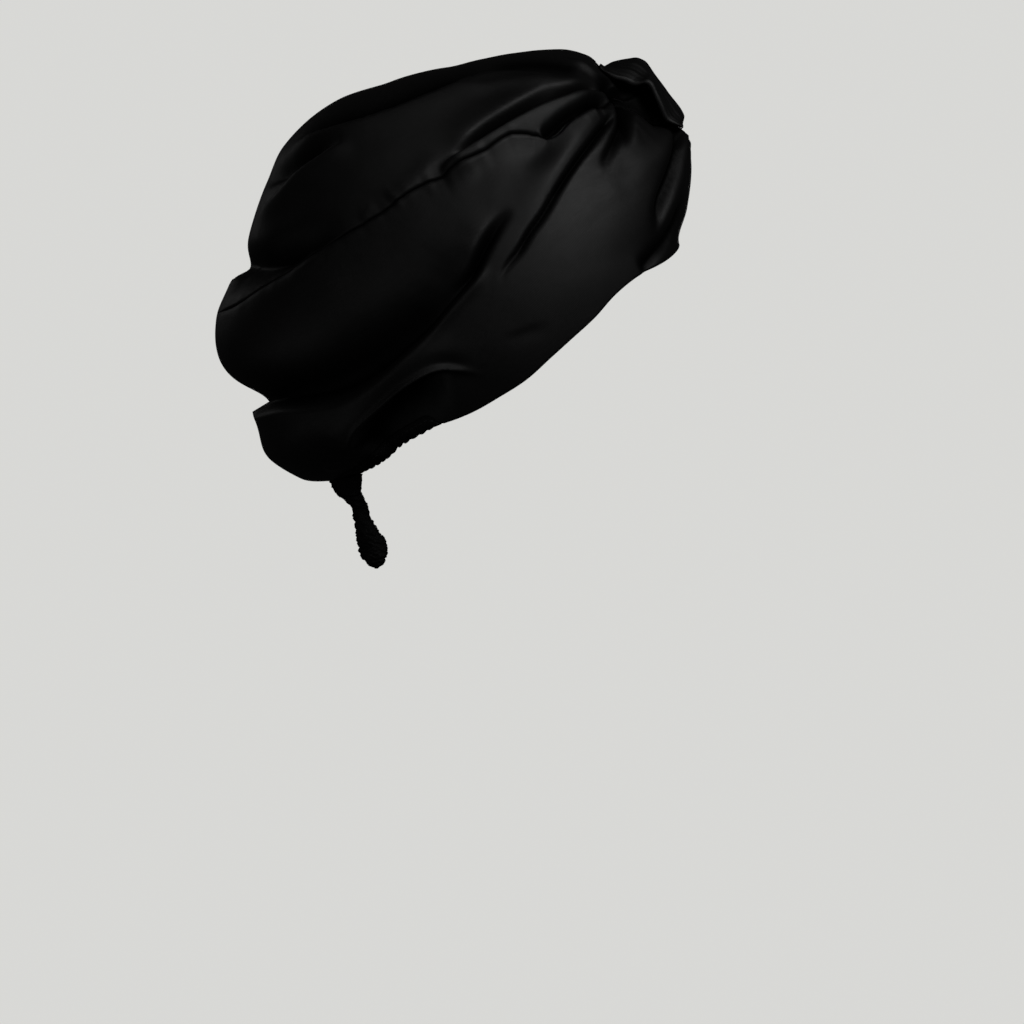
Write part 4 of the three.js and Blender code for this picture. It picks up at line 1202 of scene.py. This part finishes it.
@dataclass
class CrownPanel:
    """The panel over the top, between the two side seams."""

    form: BonnetForm
    per_rib: int = 16
    half: int = 80
    crowding: float = 1.5
    corner_power: int = 4
    roll: float = 0.1
    cut_width: float = 0.240
    cut_length: float = 0.270
    cut_area: float = 0.046

    def edge(self, row: np.ndarray) -> np.ndarray:
        """Directions of the crown's edge at rows of the ribs, a little inside the seam."""
        inset = np.full_like(row, -self.form.gap / 2)
        return unit(self.form.side_point(row, np.zeros_like(row), inset))

    def across(self, row: np.ndarray, v: np.ndarray) -> np.ndarray:
        """Places of the crown across the top.

        Args:
            row: Ribs from the front to the back.
            v: From -1 on the right to 1 on the left.

        Returns:
            One direction, not of unit length, for each place.
        """
        share = (row - CROWN_FIRST) / (CROWN_CORNER - CROWN_FIRST)
        rib = np.interp(row, np.arange(len(RIBS)), [each.spine for each in RIBS])
        ahead = (RIBS[0].spine - rib) * (1.0 - share) ** self.corner_power
        behind = (RIBS[-1].spine - rib) * share**self.corner_power
        spine = np.radians(rib + ahead + behind)
        edge = self.edge(row)
        return np.stack([
            np.cos(spine) * (1.0 - v * v) + edge[:, 0] * v * v,
            -edge[:, 1] * v,
            np.sin(spine) * (1.0 - v * v) + edge[:, 2] * v * v,
        ], axis=1)

    def build(self) -> bpy.types.Object:
        """Makes the panel's wall.

        Returns:
            The object.
        """
        steps = (CROWN_CORNER - CROWN_FIRST) * self.per_rib
        rows = CROWN_FIRST + np.arange(steps + 1) / self.per_rib
        j = np.arange(-self.half, self.half + 1)
        t = np.abs(j) / self.half
        side = np.sign(j)
        v = side * (1.0 - (1.0 - t) ** self.crowding)
        front = self.edge(t * CROWN_FIRST)
        back = self.edge(LAST_RIB - t * (LAST_RIB - CROWN_CORNER))
        front[:, 1] *= -side
        back[:, 1] *= -side
        front -= self.across(np.full_like(t, CROWN_FIRST), v)
        back -= self.across(np.full_like(t, CROWN_CORNER), v)
        grid_row, grid_v = np.meshgrid(rows, v, indexing="ij")
        places = self.across(grid_row.ravel(), grid_v.ravel()).reshape(*grid_row.shape, 3)
        share = ((rows - CROWN_FIRST) / (CROWN_CORNER - CROWN_FIRST))[:, None, None]
        places = places + front[None] * (1.0 - share) ** self.corner_power
        places = places + back[None] * share**self.corner_power
        return cloth_shell(self.form, "crown_silk", unit(places), 0.0, False, self.roll)

    def dress(self, piece: bpy.types.Object) -> None:
        """Dresses the panel."""
        SATIN.dress(piece, "crown_panel")


@dataclass
class FrontKnot:
    """The pleated band that arches over the gathered cloth at the front."""

    form: BonnetForm
    rows: int = 90
    cols: int = 80
    wall: float = 3.0
    thin: float = 1.2
    pleat: float = 0.25
    pleats: int = 5
    pleat_drift: float = 0.10
    drift_along: float = 2.6
    drift_across: float = 1.2
    finer_share: float = 0.4
    finer_phase: float = 1.0
    pleated_drop: float = 5.0
    tuck: float = 4.5
    drop_power: float = 1.3
    clearance: float = 0.2
    roll: float = 0.9
    cut_width: float = 0.060
    cut_length: float = 0.080
    cut_area: float = 0.0024

    def build(self) -> bpy.types.Object:
        """Makes the band, tucked in at its back and front ends.

        Returns:
            The object.
        """
        keys = tuple(row.angle for row in KNOT)
        angle = np.linspace(KNOT[0].angle, KNOT[-1].angle, self.rows + 1)
        columns = (Column(keys, tuple(getattr(row, name) for row in KNOT))
                   for name in ("reach", "half", "drop"))
        top, half, drop = (column.at(angle)[:, None] for column in columns)
        v = np.linspace(-1.0, 1.0, self.cols + 1)[None]
        turn = np.radians(angle)[:, None]
        shape = (self.rows + 1, self.cols + 1)
        way = unit(np.stack([
            np.broadcast_to(np.cos(turn), shape),
            v * half / top,
            np.broadcast_to(np.sin(turn), shape),
        ], axis=-1))
        along = np.linspace(0.0, 1.0, self.rows + 1)[:, None]
        drift = v + self.pleat_drift * np.sin(self.drift_along * along + self.drift_across * v)
        finer = np.cos(np.pi * (2 * self.pleats + 1) * drift + self.finer_phase)
        pleat = np.cos(np.pi * self.pleats * drift) + self.finer_share * finer
        pleat = self.pleat * ease(drop / self.pleated_drop) * pleat
        from_end = ease(np.minimum(along, 1.0 - along) * self.tuck)
        wall = self.thin + (self.wall - self.thin) * from_end
        floor = self.form.reach(way.reshape(-1, 3)).reshape(shape) + self.form.gap + self.clearance
        low = np.maximum(top - drop * np.abs(v) ** self.drop_power + pleat - wall, floor)
        outer = way * (low + wall)[..., None]
        inner = way * low[..., None]
        return ClothShell("knot_band", outer, inner, False, self.roll).build()

    def dress(self, piece: bpy.types.Object) -> None:
        """Dresses the band."""
        SATIN.dress(piece, "front_knot")


@dataclass
class NapeCasing:
    """The ruffled casing of the elastic at the nape."""

    form: BonnetForm
    stations: int = 360
    levels: int = 14
    hem: float = 1.99999
    least_tall: float = 0.5
    lead: float = 0.12
    settle_over: float = 1.2
    full: float = 0.9
    flattest: float = 0.08
    ruffle: float = 0.18
    ruffle_top: float = 0.15
    ruffle_tall: float = 5.0
    scallop: float = 0.35
    gathered: float = 0.6
    stitch_level: int = 4
    stitch_ends: int = 6
    stitch_proud: float = 0.05
    cut_width: float = 0.016
    cut_length: float = 0.200
    cut_area: float = 0.0024
    stitch_row: np.ndarray = field(default_factory=lambda: np.zeros((0, 3)))

    def build(self) -> bpy.types.Object:
        """Makes the casing and keeps the line of its upper row of stitches.

        Returns:
            The object.
        """
        form = self.form
        start = form.casing_from + self.lead
        rows = np.linspace(start, TURN - start, self.stations + 1)
        settle = ease(np.minimum(rows - start, TURN - start - rows) / self.settle_over)
        clear = form.clear_of_tie(rows)
        wave = form.nape_wave(rows) * clear * settle
        zero = np.zeros_like(rows)
        upper = form.side_point(rows, form.panel_end(rows), zero)
        lower = form.side_point(rows, np.full_like(rows, self.hem), self.scallop * wave)
        way = lower - upper
        tall = np.linalg.norm(way, axis=1)
        level = np.linspace(0.0, 1.0, self.levels + 1)
        first = form.gap / np.maximum(tall, self.least_tall)
        share = np.maximum(level[None], first[:, None])
        places = unit(upper[:, None] + way[:, None] * share[..., None])
        cloth = form.reach(places.reshape(-1, 3)).reshape(share.shape)
        cloth += form.nape_depth * wave[:, None] * self.gathered
        arch = np.sin(np.pi * np.clip(level, self.flattest, 1.0 - self.flattest))
        bulge = self.full * arch[None] * (clear * settle)[:, None]
        growing = self.ruffle_top + (1.0 - self.ruffle_top) * level[None]
        swing = self.ruffle * wave[:, None] * growing * ease(tall / self.ruffle_tall)[:, None]
        outer = places * (cloth + bulge + swing)[..., None]
        inner = places * (cloth - form.wall - bulge + swing)[..., None]
        stitched = np.s_[self.stitch_ends:-self.stitch_ends, self.stitch_level]
        proud = grid_normals(outer, False)[stitched] * self.stitch_proud
        self.stitch_row = outer[stitched] + proud
        return ClothShell("casing_silk", outer, inner, False, 0.5).build()

    def dress(self, piece: bpy.types.Object, stitches: bpy.types.Object) -> None:
        """Dresses the casing."""
        SHIRRED.dress(piece, "nape_casing")


class StitchTree:
    """Geometry Nodes tree that sets stitches along a line."""

    name: str = "stitches_along_line"
    segments: int = 8
    rings: int = 5
    shortest: float = 0.8
    longest: float = 1.1

    @classmethod
    def get(cls, material: bpy.types.Material) -> bpy.types.NodeTree:
        """The tree, made at its first use.

        Args:
            material: Finish of the thread.

        Returns:
            The node tree.
        """
        known = bpy.data.node_groups.get(cls.name)
        if known:
            return known
        tree = bpy.data.node_groups.new(cls.name, "GeometryNodeTree")
        tree.interface.new_socket("Geometry", in_out="INPUT", socket_type="NodeSocketGeometry")
        for label in ("Pitch", "Stitch Length", "Thread Thickness"):
            tree.interface.new_socket(label, in_out="INPUT", socket_type="NodeSocketFloat")
        tree.interface.new_socket("Seed", in_out="INPUT", socket_type="NodeSocketInt")
        tree.interface.new_socket("Geometry", in_out="OUTPUT", socket_type="NodeSocketGeometry")
        sketch = NodeSketch(tree)
        given = sketch.node("NodeGroupInput")
        result = sketch.node("NodeGroupOutput")
        curve = sketch.node("GeometryNodeMeshToCurve")
        sketch.join(given.outputs["Geometry"], curve.inputs["Mesh"])
        resample = sketch.node("GeometryNodeResampleCurve", mode="LENGTH")
        sketch.join(curve.outputs["Curve"], resample.inputs["Curve"])
        sketch.join(given.outputs["Pitch"], resample.inputs["Length"])
        tangent = sketch.node("GeometryNodeInputTangent")
        turn = sketch.node("FunctionNodeAlignRotationToVector", axis="Z")
        sketch.join(tangent.outputs["Tangent"], turn.inputs["Vector"])
        stitch = sketch.node("GeometryNodeMeshUVSphere",
                             {"Segments": cls.segments, "Rings": cls.rings, "Radius": 1.0})
        half = sketch.node("ShaderNodeMath", {1: 0.5}, operation="MULTIPLY")
        sketch.join(given.outputs["Stitch Length"], half.inputs[0])
        thick = sketch.node("ShaderNodeMath", {1: 0.5}, operation="MULTIPLY")
        sketch.join(given.outputs["Thread Thickness"], thick.inputs[0])
        uneven = sketch.node("FunctionNodeRandomValue", {2: cls.shortest, 3: cls.longest},
                             data_type="FLOAT")
        sketch.join(given.outputs["Seed"], uneven.inputs["Seed"])
        long = sketch.node("ShaderNodeMath", operation="MULTIPLY")
        sketch.join(half.outputs["Value"], long.inputs[0])
        sketch.join(uneven.outputs[1], long.inputs[1])
        size = sketch.node("ShaderNodeCombineXYZ")
        sketch.join(thick.outputs["Value"], size.inputs["X"])
        sketch.join(thick.outputs["Value"], size.inputs["Y"])
        sketch.join(long.outputs["Value"], size.inputs["Z"])
        place = sketch.node("GeometryNodeInstanceOnPoints")
        sketch.join(resample.outputs["Curve"], place.inputs["Points"])
        sketch.join(stitch.outputs["Mesh"], place.inputs["Instance"])
        sketch.join(turn.outputs["Rotation"], place.inputs["Rotation"])
        sketch.join(size.outputs["Vector"], place.inputs["Scale"])
        real = sketch.node("GeometryNodeRealizeInstances")
        sketch.join(place.outputs["Instances"], real.inputs["Geometry"])
        paint = sketch.node("GeometryNodeSetMaterial", {"Material": material})
        sketch.join(real.outputs["Geometry"], paint.inputs["Geometry"])
        sketch.join(paint.outputs["Geometry"], result.inputs["Geometry"])
        return tree


class CrinkleTree:
    """Geometry Nodes tree that draws a smooth surface into the crinkles of shirred silk."""

    name: str = "shirred_crinkles"

    @classmethod
    def get(cls, material: bpy.types.Material) -> bpy.types.NodeTree:
        """The tree, made at its first use.

        Args:
            material: Finish of the shirred silk.

        Returns:
            The node tree.
        """
        known = bpy.data.node_groups.get(cls.name)
        if known:
            return known
        tree = bpy.data.node_groups.new(cls.name, "GeometryNodeTree")
        tree.interface.new_socket("Geometry", in_out="INPUT", socket_type="NodeSocketGeometry")
        for label in ("Depth", "Across", "Along", "Seed"):
            tree.interface.new_socket(label, in_out="INPUT", socket_type="NodeSocketFloat")
        tree.interface.new_socket("Geometry", in_out="OUTPUT", socket_type="NodeSocketGeometry")
        sketch = NodeSketch(tree)
        given = sketch.node("NodeGroupInput")
        result = sketch.node("NodeGroupOutput")
        where = sketch.node("GeometryNodeInputPosition")
        density = sketch.node("ShaderNodeCombineXYZ")
        for label, axes in (("Across", "XY"), ("Along", "Z")):
            count = sketch.node("ShaderNodeMath", {0: 1.0}, operation="DIVIDE")
            sketch.join(given.outputs[label], count.inputs[1])
            for axis in axes:
                sketch.join(count.outputs["Value"], density.inputs[axis])
        spread = sketch.node("ShaderNodeVectorMath", operation="MULTIPLY")
        sketch.join(where.outputs["Position"], spread.inputs[0])
        sketch.join(density.outputs["Vector"], spread.inputs[1])
        noise = sketch.node("ShaderNodeTexNoise", {"Scale": 1.0, "Detail": 2.0, "Roughness": 0.55},
                            noise_dimensions="4D")
        sketch.join(spread.outputs["Vector"], noise.inputs["Vector"])
        sketch.join(given.outputs["Seed"], noise.inputs["W"])
        swing = sketch.node("ShaderNodeMapRange", {"From Min": 0.25, "From Max": 0.75,
                                                   "To Min": -1.0, "To Max": 1.0})
        sketch.join(noise.outputs["Fac"], swing.inputs["Value"])
        deep = sketch.node("ShaderNodeMath", operation="MULTIPLY")
        sketch.join(swing.outputs["Result"], deep.inputs[0])
        sketch.join(given.outputs["Depth"], deep.inputs[1])
        loose = sketch.node("GeometryNodeInputNamedAttribute", {"Name": "loose"}, data_type="FLOAT")
        free = sketch.node("ShaderNodeMath", operation="MULTIPLY")
        sketch.join(deep.outputs["Value"], free.inputs[0])
        sketch.join(loose.outputs["Attribute"], free.inputs[1])
        normal = sketch.node("GeometryNodeInputNormal")
        push = sketch.node("ShaderNodeVectorMath", operation="SCALE")
        sketch.join(normal.outputs["Normal"], push.inputs[0])
        sketch.join(free.outputs["Value"], push.inputs["Scale"])
        move = sketch.node("GeometryNodeSetPosition")
        sketch.join(given.outputs["Geometry"], move.inputs["Geometry"])
        sketch.join(push.outputs["Vector"], move.inputs["Offset"])
        real = sketch.node("GeometryNodeRealizeInstances")
        sketch.join(move.outputs["Geometry"], real.inputs["Geometry"])
        paint = sketch.node("GeometryNodeSetMaterial", {"Material": material})
        sketch.join(real.outputs["Geometry"], paint.inputs["Geometry"])
        sketch.join(paint.outputs["Geometry"], result.inputs["Geometry"])
        return tree


def grown(piece: bpy.types.Object, tree: bpy.types.NodeTree,
          values: dict[str, float]) -> bpy.types.Object:
    """Runs a Geometry Nodes tree on a piece and keeps its result as a plain mesh.

    Args:
        piece: The piece to work on.
        tree: The tree.
        values: Values of the tree's named inputs.

    Returns:
        The piece, with its new mesh and no modifier.
    """
    modifier = piece.modifiers.new(tree.name, "NODES")
    modifier.node_group = tree
    for item in tree.interface.items_tree:
        if item.item_type == "SOCKET" and item.in_out == "INPUT" and item.name in values:
            modifier[item.identifier] = values[item.name]
    piece.update_tag()
    graph = bpy.context.evaluated_depsgraph_get()
    mesh = bpy.data.meshes.new_from_object(piece.evaluated_get(graph), depsgraph=graph)
    piece.modifiers.clear()
    old = piece.data
    piece.data = mesh
    bpy.data.meshes.remove(old)
    mesh.name = piece.name
    return piece


@dataclass
class Tie:
    """The small shirred tie under the nape: a tab that funnels down, and its rounded end."""

    form: BonnetForm
    around: int = 96
    fill: float = 0.8
    crinkle_depth: float = 0.75
    crinkle_across: float = 2.6
    crinkle_along: float = 1.3
    crinkle_seed: float = 3.0
    held: float = 1.6
    mapped_radius: float = 5.0
    search_high: float = -70.0
    search_low: float = -110.0
    halvings: int = 24
    clearance: float = 0.2
    root_shares: tuple[float, ...] = (0.45, 0.8, 1.0)
    flare_rings: int = 7
    flare_from: float = 0.12
    tab_rings: int = 24
    end_rings: int = 84

    def under_pouch(self, x: np.ndarray, y: np.ndarray) -> np.ndarray:
        """Heights just under the cloth of the pouch.

        Args:
            x: Places fore and aft.
            y: Places across.

        Returns:
            One height for each place.
        """
        high = np.full_like(x, self.search_high)
        low = np.full_like(x, self.search_low)
        for _ in range(self.halvings):
            z = (high + low) / 2
            point = np.stack([x, y, z], axis=1)
            far = np.linalg.norm(point, axis=1)
            clear = far - self.form.reach(point / far[:, None]) - self.clearance > 0
            low = np.where(clear, z, low)
            high = np.where(clear, high, z)
        return low

    def ring(self, x: float, fore: float, across: float) -> tuple[np.ndarray, np.ndarray]:
        """Outline of one ring of the tie."""
        turn = 2 * np.pi * np.arange(self.around) / self.around
        return x + fore * np.cos(turn), across * np.sin(turn)

    def loft(self, name: str, rings: np.ndarray) -> bpy.types.Object:
        """Closed body through rings of points, crinkled as shirred silk is.

        Args:
            name: Name of the piece.
            rings: Points, ring by ring.

        Returns:
            The object.
        """
        count, around = rings.shape[:2]
        i, k = np.indices((count - 1, around)).reshape(2, -1)
        n = (k + 1) % around
        here, below = i * around, (i + 1) * around
        quads = np.stack([here + k, here + n, below + n, below + k], axis=1)
        points = [rings.reshape(-1, 3), rings[:1].mean(axis=1), rings[-1:].mean(axis=1)]
        middle = count * around
        half = around // 2
        even = np.arange(0, around, 2)
        first = np.stack([np.full(half, middle), (even + 2) % around, even + 1, even], axis=1)
        last = np.stack([np.full(half, middle + 1), even, even + 1, (even + 2) % around], axis=1)
        last[:, 1:] += (count - 1) * around
        faces = np.vstack([quads, first, last])
        steps = np.linalg.norm(np.diff(rings[:, 0], axis=0), axis=1)
        down = np.concatenate([[0.0], np.cumsum(steps)])
        girth = 2 * np.pi * self.mapped_radius / around
        uv = np.zeros((len(faces), 4, 2))
        uv[: len(quads), :, 0] = np.stack([k, k + 1, k + 1, k], axis=1) * girth
        uv[: len(quads), :, 1] = np.stack([down[i], down[i], down[i + 1], down[i + 1]], axis=1)
        piece = mesh_object(name, np.vstack(points), faces, uv)
        from_end = ease(np.minimum(down, down[-1] - down) / self.held)
        loose = np.concatenate([np.repeat(from_end, around), [0.0, 0.0]])
        layer = piece.data.attributes.new("loose", "FLOAT", "POINT")
        layer.data.foreach_set("value", loose.astype(np.float32))
        values = {"Depth": self.crinkle_depth * MM, "Across": self.crinkle_across * MM,
                  "Along": self.crinkle_along * MM, "Seed": self.crinkle_seed}
        return grown(piece, CrinkleTree.get(SHIRRED.material()), values)

    def rows(self, table: tuple[TieRow, ...], count: int) -> np.ndarray:
        """Rings of the tie between the rows of a table.

        Args:
            table: Rows from the top down.
            count: How many rings to make.

        Returns:
            Points, ring by ring.
        """
        keys = tuple(row.z for row in table)
        z = np.linspace(table[0].z, table[-1].z, count)
        x, fore, across = (Column(keys, tuple(getattr(row, name) for row in table)).at(z)
                           for name in ("x", "fore", "across"))
        rings = []
        for height, middle, long, wide in zip(z, x, fore, across):
            ring_x, ring_y = self.ring(middle, long, wide)
            rings.append(np.stack([ring_x, ring_y, np.full(self.around, height)], axis=1))
        return np.array(rings)

    def tab(self) -> bpy.types.Object:
        """Makes the tab, which flares out under the pouch.

        Returns:
            The object.
        """
        rings = []
        for share in self.root_shares:
            x, y = self.ring(TAB_ROOT.x, TAB_ROOT.fore * share, TAB_ROOT.across * share)
            rings.append(np.stack([x, y, self.under_pouch(x, y)], axis=1))
        lower = self.rows(TAB_ROWS, self.tab_rings)
        flare = np.linspace(self.flare_from, 1.0 - self.flare_from, self.flare_rings)
        upper = [rings[-1] + (lower[0] - rings[-1]) * t for t in flare]
        return self.loft("tie_funnel", np.array([*rings, *upper, *lower]))

    def end(self) -> bpy.types.Object:
        """Makes the tie's rounded end."""
        return self.loft("tie_bulb", self.rows(LOOP_ROWS, self.end_rings))

    def dress(self, tab: bpy.types.Object, end: bpy.types.Object) -> None:
        """Dresses both pieces.

        Args:
            tab: The tab.
            end: The rounded end.
        """
        for piece, node in ((tab, "tie_tab"), (end, "tie_loop")):
            SHIRRED.dress(piece, node)


@dataclass
class StitchRow:
    """A row of hand stitches along a line of points."""

    name: str
    line: np.ndarray
    pitch: float = 3.0
    length: float = 2.0
    thickness: float = 0.4
    seed: int = 5

    def build(self) -> bpy.types.Object:
        """Sets the stitches along the line.

        Returns:
            The object.
        """
        mesh = bpy.data.meshes.new(self.name)
        edges = [(k, k + 1) for k in range(len(self.line) - 1)]
        mesh.from_pydata((self.line * MM).tolist(), edges, [])
        piece = bpy.data.objects.new(self.name, mesh)
        bpy.context.scene.collection.objects.link(piece)
        values = {"Pitch": self.pitch * MM, "Stitch Length": self.length * MM,
                  "Thread Thickness": self.thickness * MM, "Seed": self.seed}
        grown(piece, StitchTree.get(THREAD.material()), values)
        piece.data.shade_smooth()
        return piece

    def dress(self, piece: bpy.types.Object) -> None:
        """Gives the stitches their thread and their place in the frame."""
        THREAD.dress(piece)


@dataclass(frozen=True)
class Lamp:
    """One soft rectangular lamp: where it stands, what it points at, its size and power."""

    name: str
    place: tuple[float, float, float]
    aim: tuple[float, float, float]
    size: tuple[float, float]
    watts: float

    def build(self) -> None:
        """Sets the lamp up, hidden from the camera."""
        data = bpy.data.lights.new(self.name, "AREA")
        data.shape = "RECTANGLE"
        data.size, data.size_y = self.size
        data.energy = self.watts
        lamp = bpy.data.objects.new(self.name, data)
        lamp.location = self.place
        lamp.visible_camera = False
        way = Vector(self.aim) - Vector(self.place)
        lamp.rotation_euler = way.to_track_quat("-Z", "Y").to_euler()
        bpy.context.scene.collection.objects.link(lamp)


LAMPS = (
    Lamp("front_light", (1.15, -1.42, 1.20), (0.0, 0.0, 0.02), (1.3, 1.3), 11.7),
    Lamp("top_light", (-0.5, -1.0, 1.9), (0.0, 0.0, 0.02), (0.9, 0.9), 1.0),
    Lamp("side_light", (-0.9, -1.8, -0.1), (0.0, 0.0, -0.02), (0.8, 0.4), 0.2),
    Lamp("low_light", (-0.55, -0.3, -0.30), (-0.08, 0.0, -0.07), (0.5, 0.5), 0.09),
    Lamp("far_light", (0.05, 1.3, 0.03), (0.0, 0.0, 0.02), (0.6, 0.6), 2.0),
    Lamp("back_light", (-1.3, 1.1, 0.5), (0.0, 0.0, 0.0), (0.6, 0.6), 0.4),
)


@dataclass
class Studio:
    """Pale round floor that turns up into a wall, soft lamps, and the camera of the side view."""

    floor: float = -0.345
    floor_flat: float = 0.8
    wall_away: float = 3.6
    wall_top: float = 3.6
    wall_bend: float = 0.8
    bend_steps: int = 12
    around: int = 96
    glow: tuple[float, float, float, float] = (0.97, 0.97, 0.945, 1.0)
    glow_strength: float = 0.71
    air: tuple[float, float, float, float] = (1.0, 1.0, 0.985, 1.0)
    air_strength: float = 0.008
    camera_place: tuple[float, float, float] = (0.016, -1.9, 0.010)
    camera_aim: tuple[float, float, float] = (0.016, 0.0, -0.106)
    half_view: float = 512.0 / 3800.0
    sensor: float = 36.0
    sight: float = 30.0

    def floor_profile(self) -> list[tuple[float, float]]:
        """Profile of the floor and the wall.

        Returns:
            Distance from the middle and height of each ring.
        """
        bend = self.wall_bend
        profile = [(self.floor_flat, self.floor)]
        for turn in np.linspace(0.0, math.pi / 2, self.bend_steps + 1):
            away = self.wall_away - bend + bend * math.sin(turn)
            profile.append((away, self.floor + bend * (1 - math.cos(turn))))
        profile.append((self.wall_away, self.wall_top))
        return profile

    def backdrop(self) -> None:
        """Makes the floor and its wall, which glow evenly and which reflections don't see."""
        around = self.around
        profile = self.floor_profile()
        angles = [2 * math.pi * k / around for k in range(around)]
        points = [(r * math.cos(a), r * math.sin(a), z) for r, z in profile for a in angles]
        faces = [tuple(range(around))]
        for start in range(0, (len(profile) - 1) * around, around):
            for k in range(around):
                n = (k + 1) % around
                faces.append((start + k, start + n, start + around + n, start + around + k))
        mesh = bpy.data.meshes.new("studio_floor")
        mesh.from_pydata(points, [], faces)
        mesh.shade_smooth()
        floor = bpy.data.objects.new("studio_floor", mesh)
        bpy.context.scene.collection.objects.link(floor)
        paper = bpy.data.materials.new("pale_paper")
        paper.use_nodes = True
        shader = paper.node_tree.nodes["Principled BSDF"]
        shader.inputs["Base Color"].default_value = (0.0, 0.0, 0.0, 1.0)
        shader.inputs["Specular IOR Level"].default_value = 0.0
        shader.inputs["Emission Color"].default_value = self.glow
        shader.inputs["Emission Strength"].default_value = self.glow_strength
        floor.visible_diffuse = False
        floor.visible_glossy = False
        floor.visible_shadow = False
        mesh.materials.append(paper)

    def build(self) -> None:
        """Sets up the floor, the lamps and the camera."""
        self.backdrop()
        for lamp in LAMPS:
            lamp.build()
        world = bpy.data.worlds.new("studio_air")
        world.use_nodes = True
        sky = world.node_tree.nodes["Background"]
        sky.inputs["Color"].default_value = self.air
        sky.inputs["Strength"].default_value = self.air_strength
        bpy.context.scene.world = world
        bpy.context.scene.view_settings.view_transform = "Standard"
        lens = bpy.data.cameras.new("side_view")
        lens.sensor_width = self.sensor
        lens.lens = self.sensor / 2 / self.half_view
        lens.clip_end = self.sight
        camera = bpy.data.objects.new("side_view", lens)
        camera.location = self.camera_place
        aim = Vector(self.camera_aim) - Vector(self.camera_place)
        camera.rotation_euler = aim.to_track_quat("-Z", "Y").to_euler()
        bpy.context.scene.collection.objects.link(camera)
        bpy.context.scene.camera = camera


class Hand(Enum):
    """The wearer's two sides, as signs along +Y."""

    RIGHT = -1.0
    LEFT = 1.0


@dataclass
class GatherTack:
    """The few stitches that tack the gathers beside the knot, on one side."""

    form: BonnetForm
    name: str
    hand: Hand
    first_x: float = 68.0
    last_x: float = 71.5
    first_z: float = 101.5
    fall: float = 0.5
    places: int = 12
    proud: float = 0.1
    pitch: float = 1.4
    length: float = 1.3
    thickness: float = 0.45

    def row(self) -> StitchRow:
        """Row of the tack's stitches.

        Returns:
            The row, a little proud of the cloth.
        """
        x = np.linspace(self.first_x, self.last_x, self.places)
        way = unit(self.form.lift(x, self.first_z - self.fall * (x - self.first_x)))
        way[:, 1] *= -self.hand.value
        line = way * (self.form.reach(way) + self.proud)[:, None]
        return StitchRow(self.name, line, self.pitch, self.length, self.thickness)


def report(piece: bpy.types.Object) -> None:
    """Logs one piece's size.

    Args:
        piece: The piece.
    """
    triangles = sum(len(polygon.vertices) - 2 for polygon in piece.data.polygons)
    area = sum(polygon.area for polygon in piece.data.polygons)
    LOG.info("%s: %d triangles, %.5f m2", piece.name, triangles, area)


def main() -> None:
    """Builds and dresses the bonnet."""
    logging.basicConfig(level=logging.INFO, format="%(name)s: %(message)s")
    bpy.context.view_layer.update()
    Studio().build()
    form = BonnetForm()
    crown = CrownPanel(form)
    crown_piece = crown.build()
    crown.dress(crown_piece)
    side = SidePanel(form)
    side_piece = side.build()
    side.dress(side_piece)
    knot = FrontKnot(form)
    knot_piece = knot.build()
    knot.dress(knot_piece)
    casing = NapeCasing(form)
    casing_piece = casing.build()
    hem_row = StitchRow("casing_stitches", casing.stitch_row)
    hem_stitches = hem_row.build()
    hem_row.dress(hem_stitches)
    casing.dress(casing_piece, hem_stitches)
    tie = Tie(form)
    tie_pieces = (tie.tab(), tie.end())
    tie.dress(*tie_pieces)
    tacks = []
    for name, hand in (("right_tack", Hand.RIGHT), ("left_tack", Hand.LEFT)):
        tack_row = GatherTack(form, name, hand).row()
        tack = tack_row.build()
        tack_row.dress(tack)
        tacks.append(tack)
    panels = (crown_piece, side_piece, knot_piece, casing_piece)
    for piece in (*panels, hem_stitches, *tie_pieces, *tacks):
        report(piece)


if __name__ == "__main__":
    main()
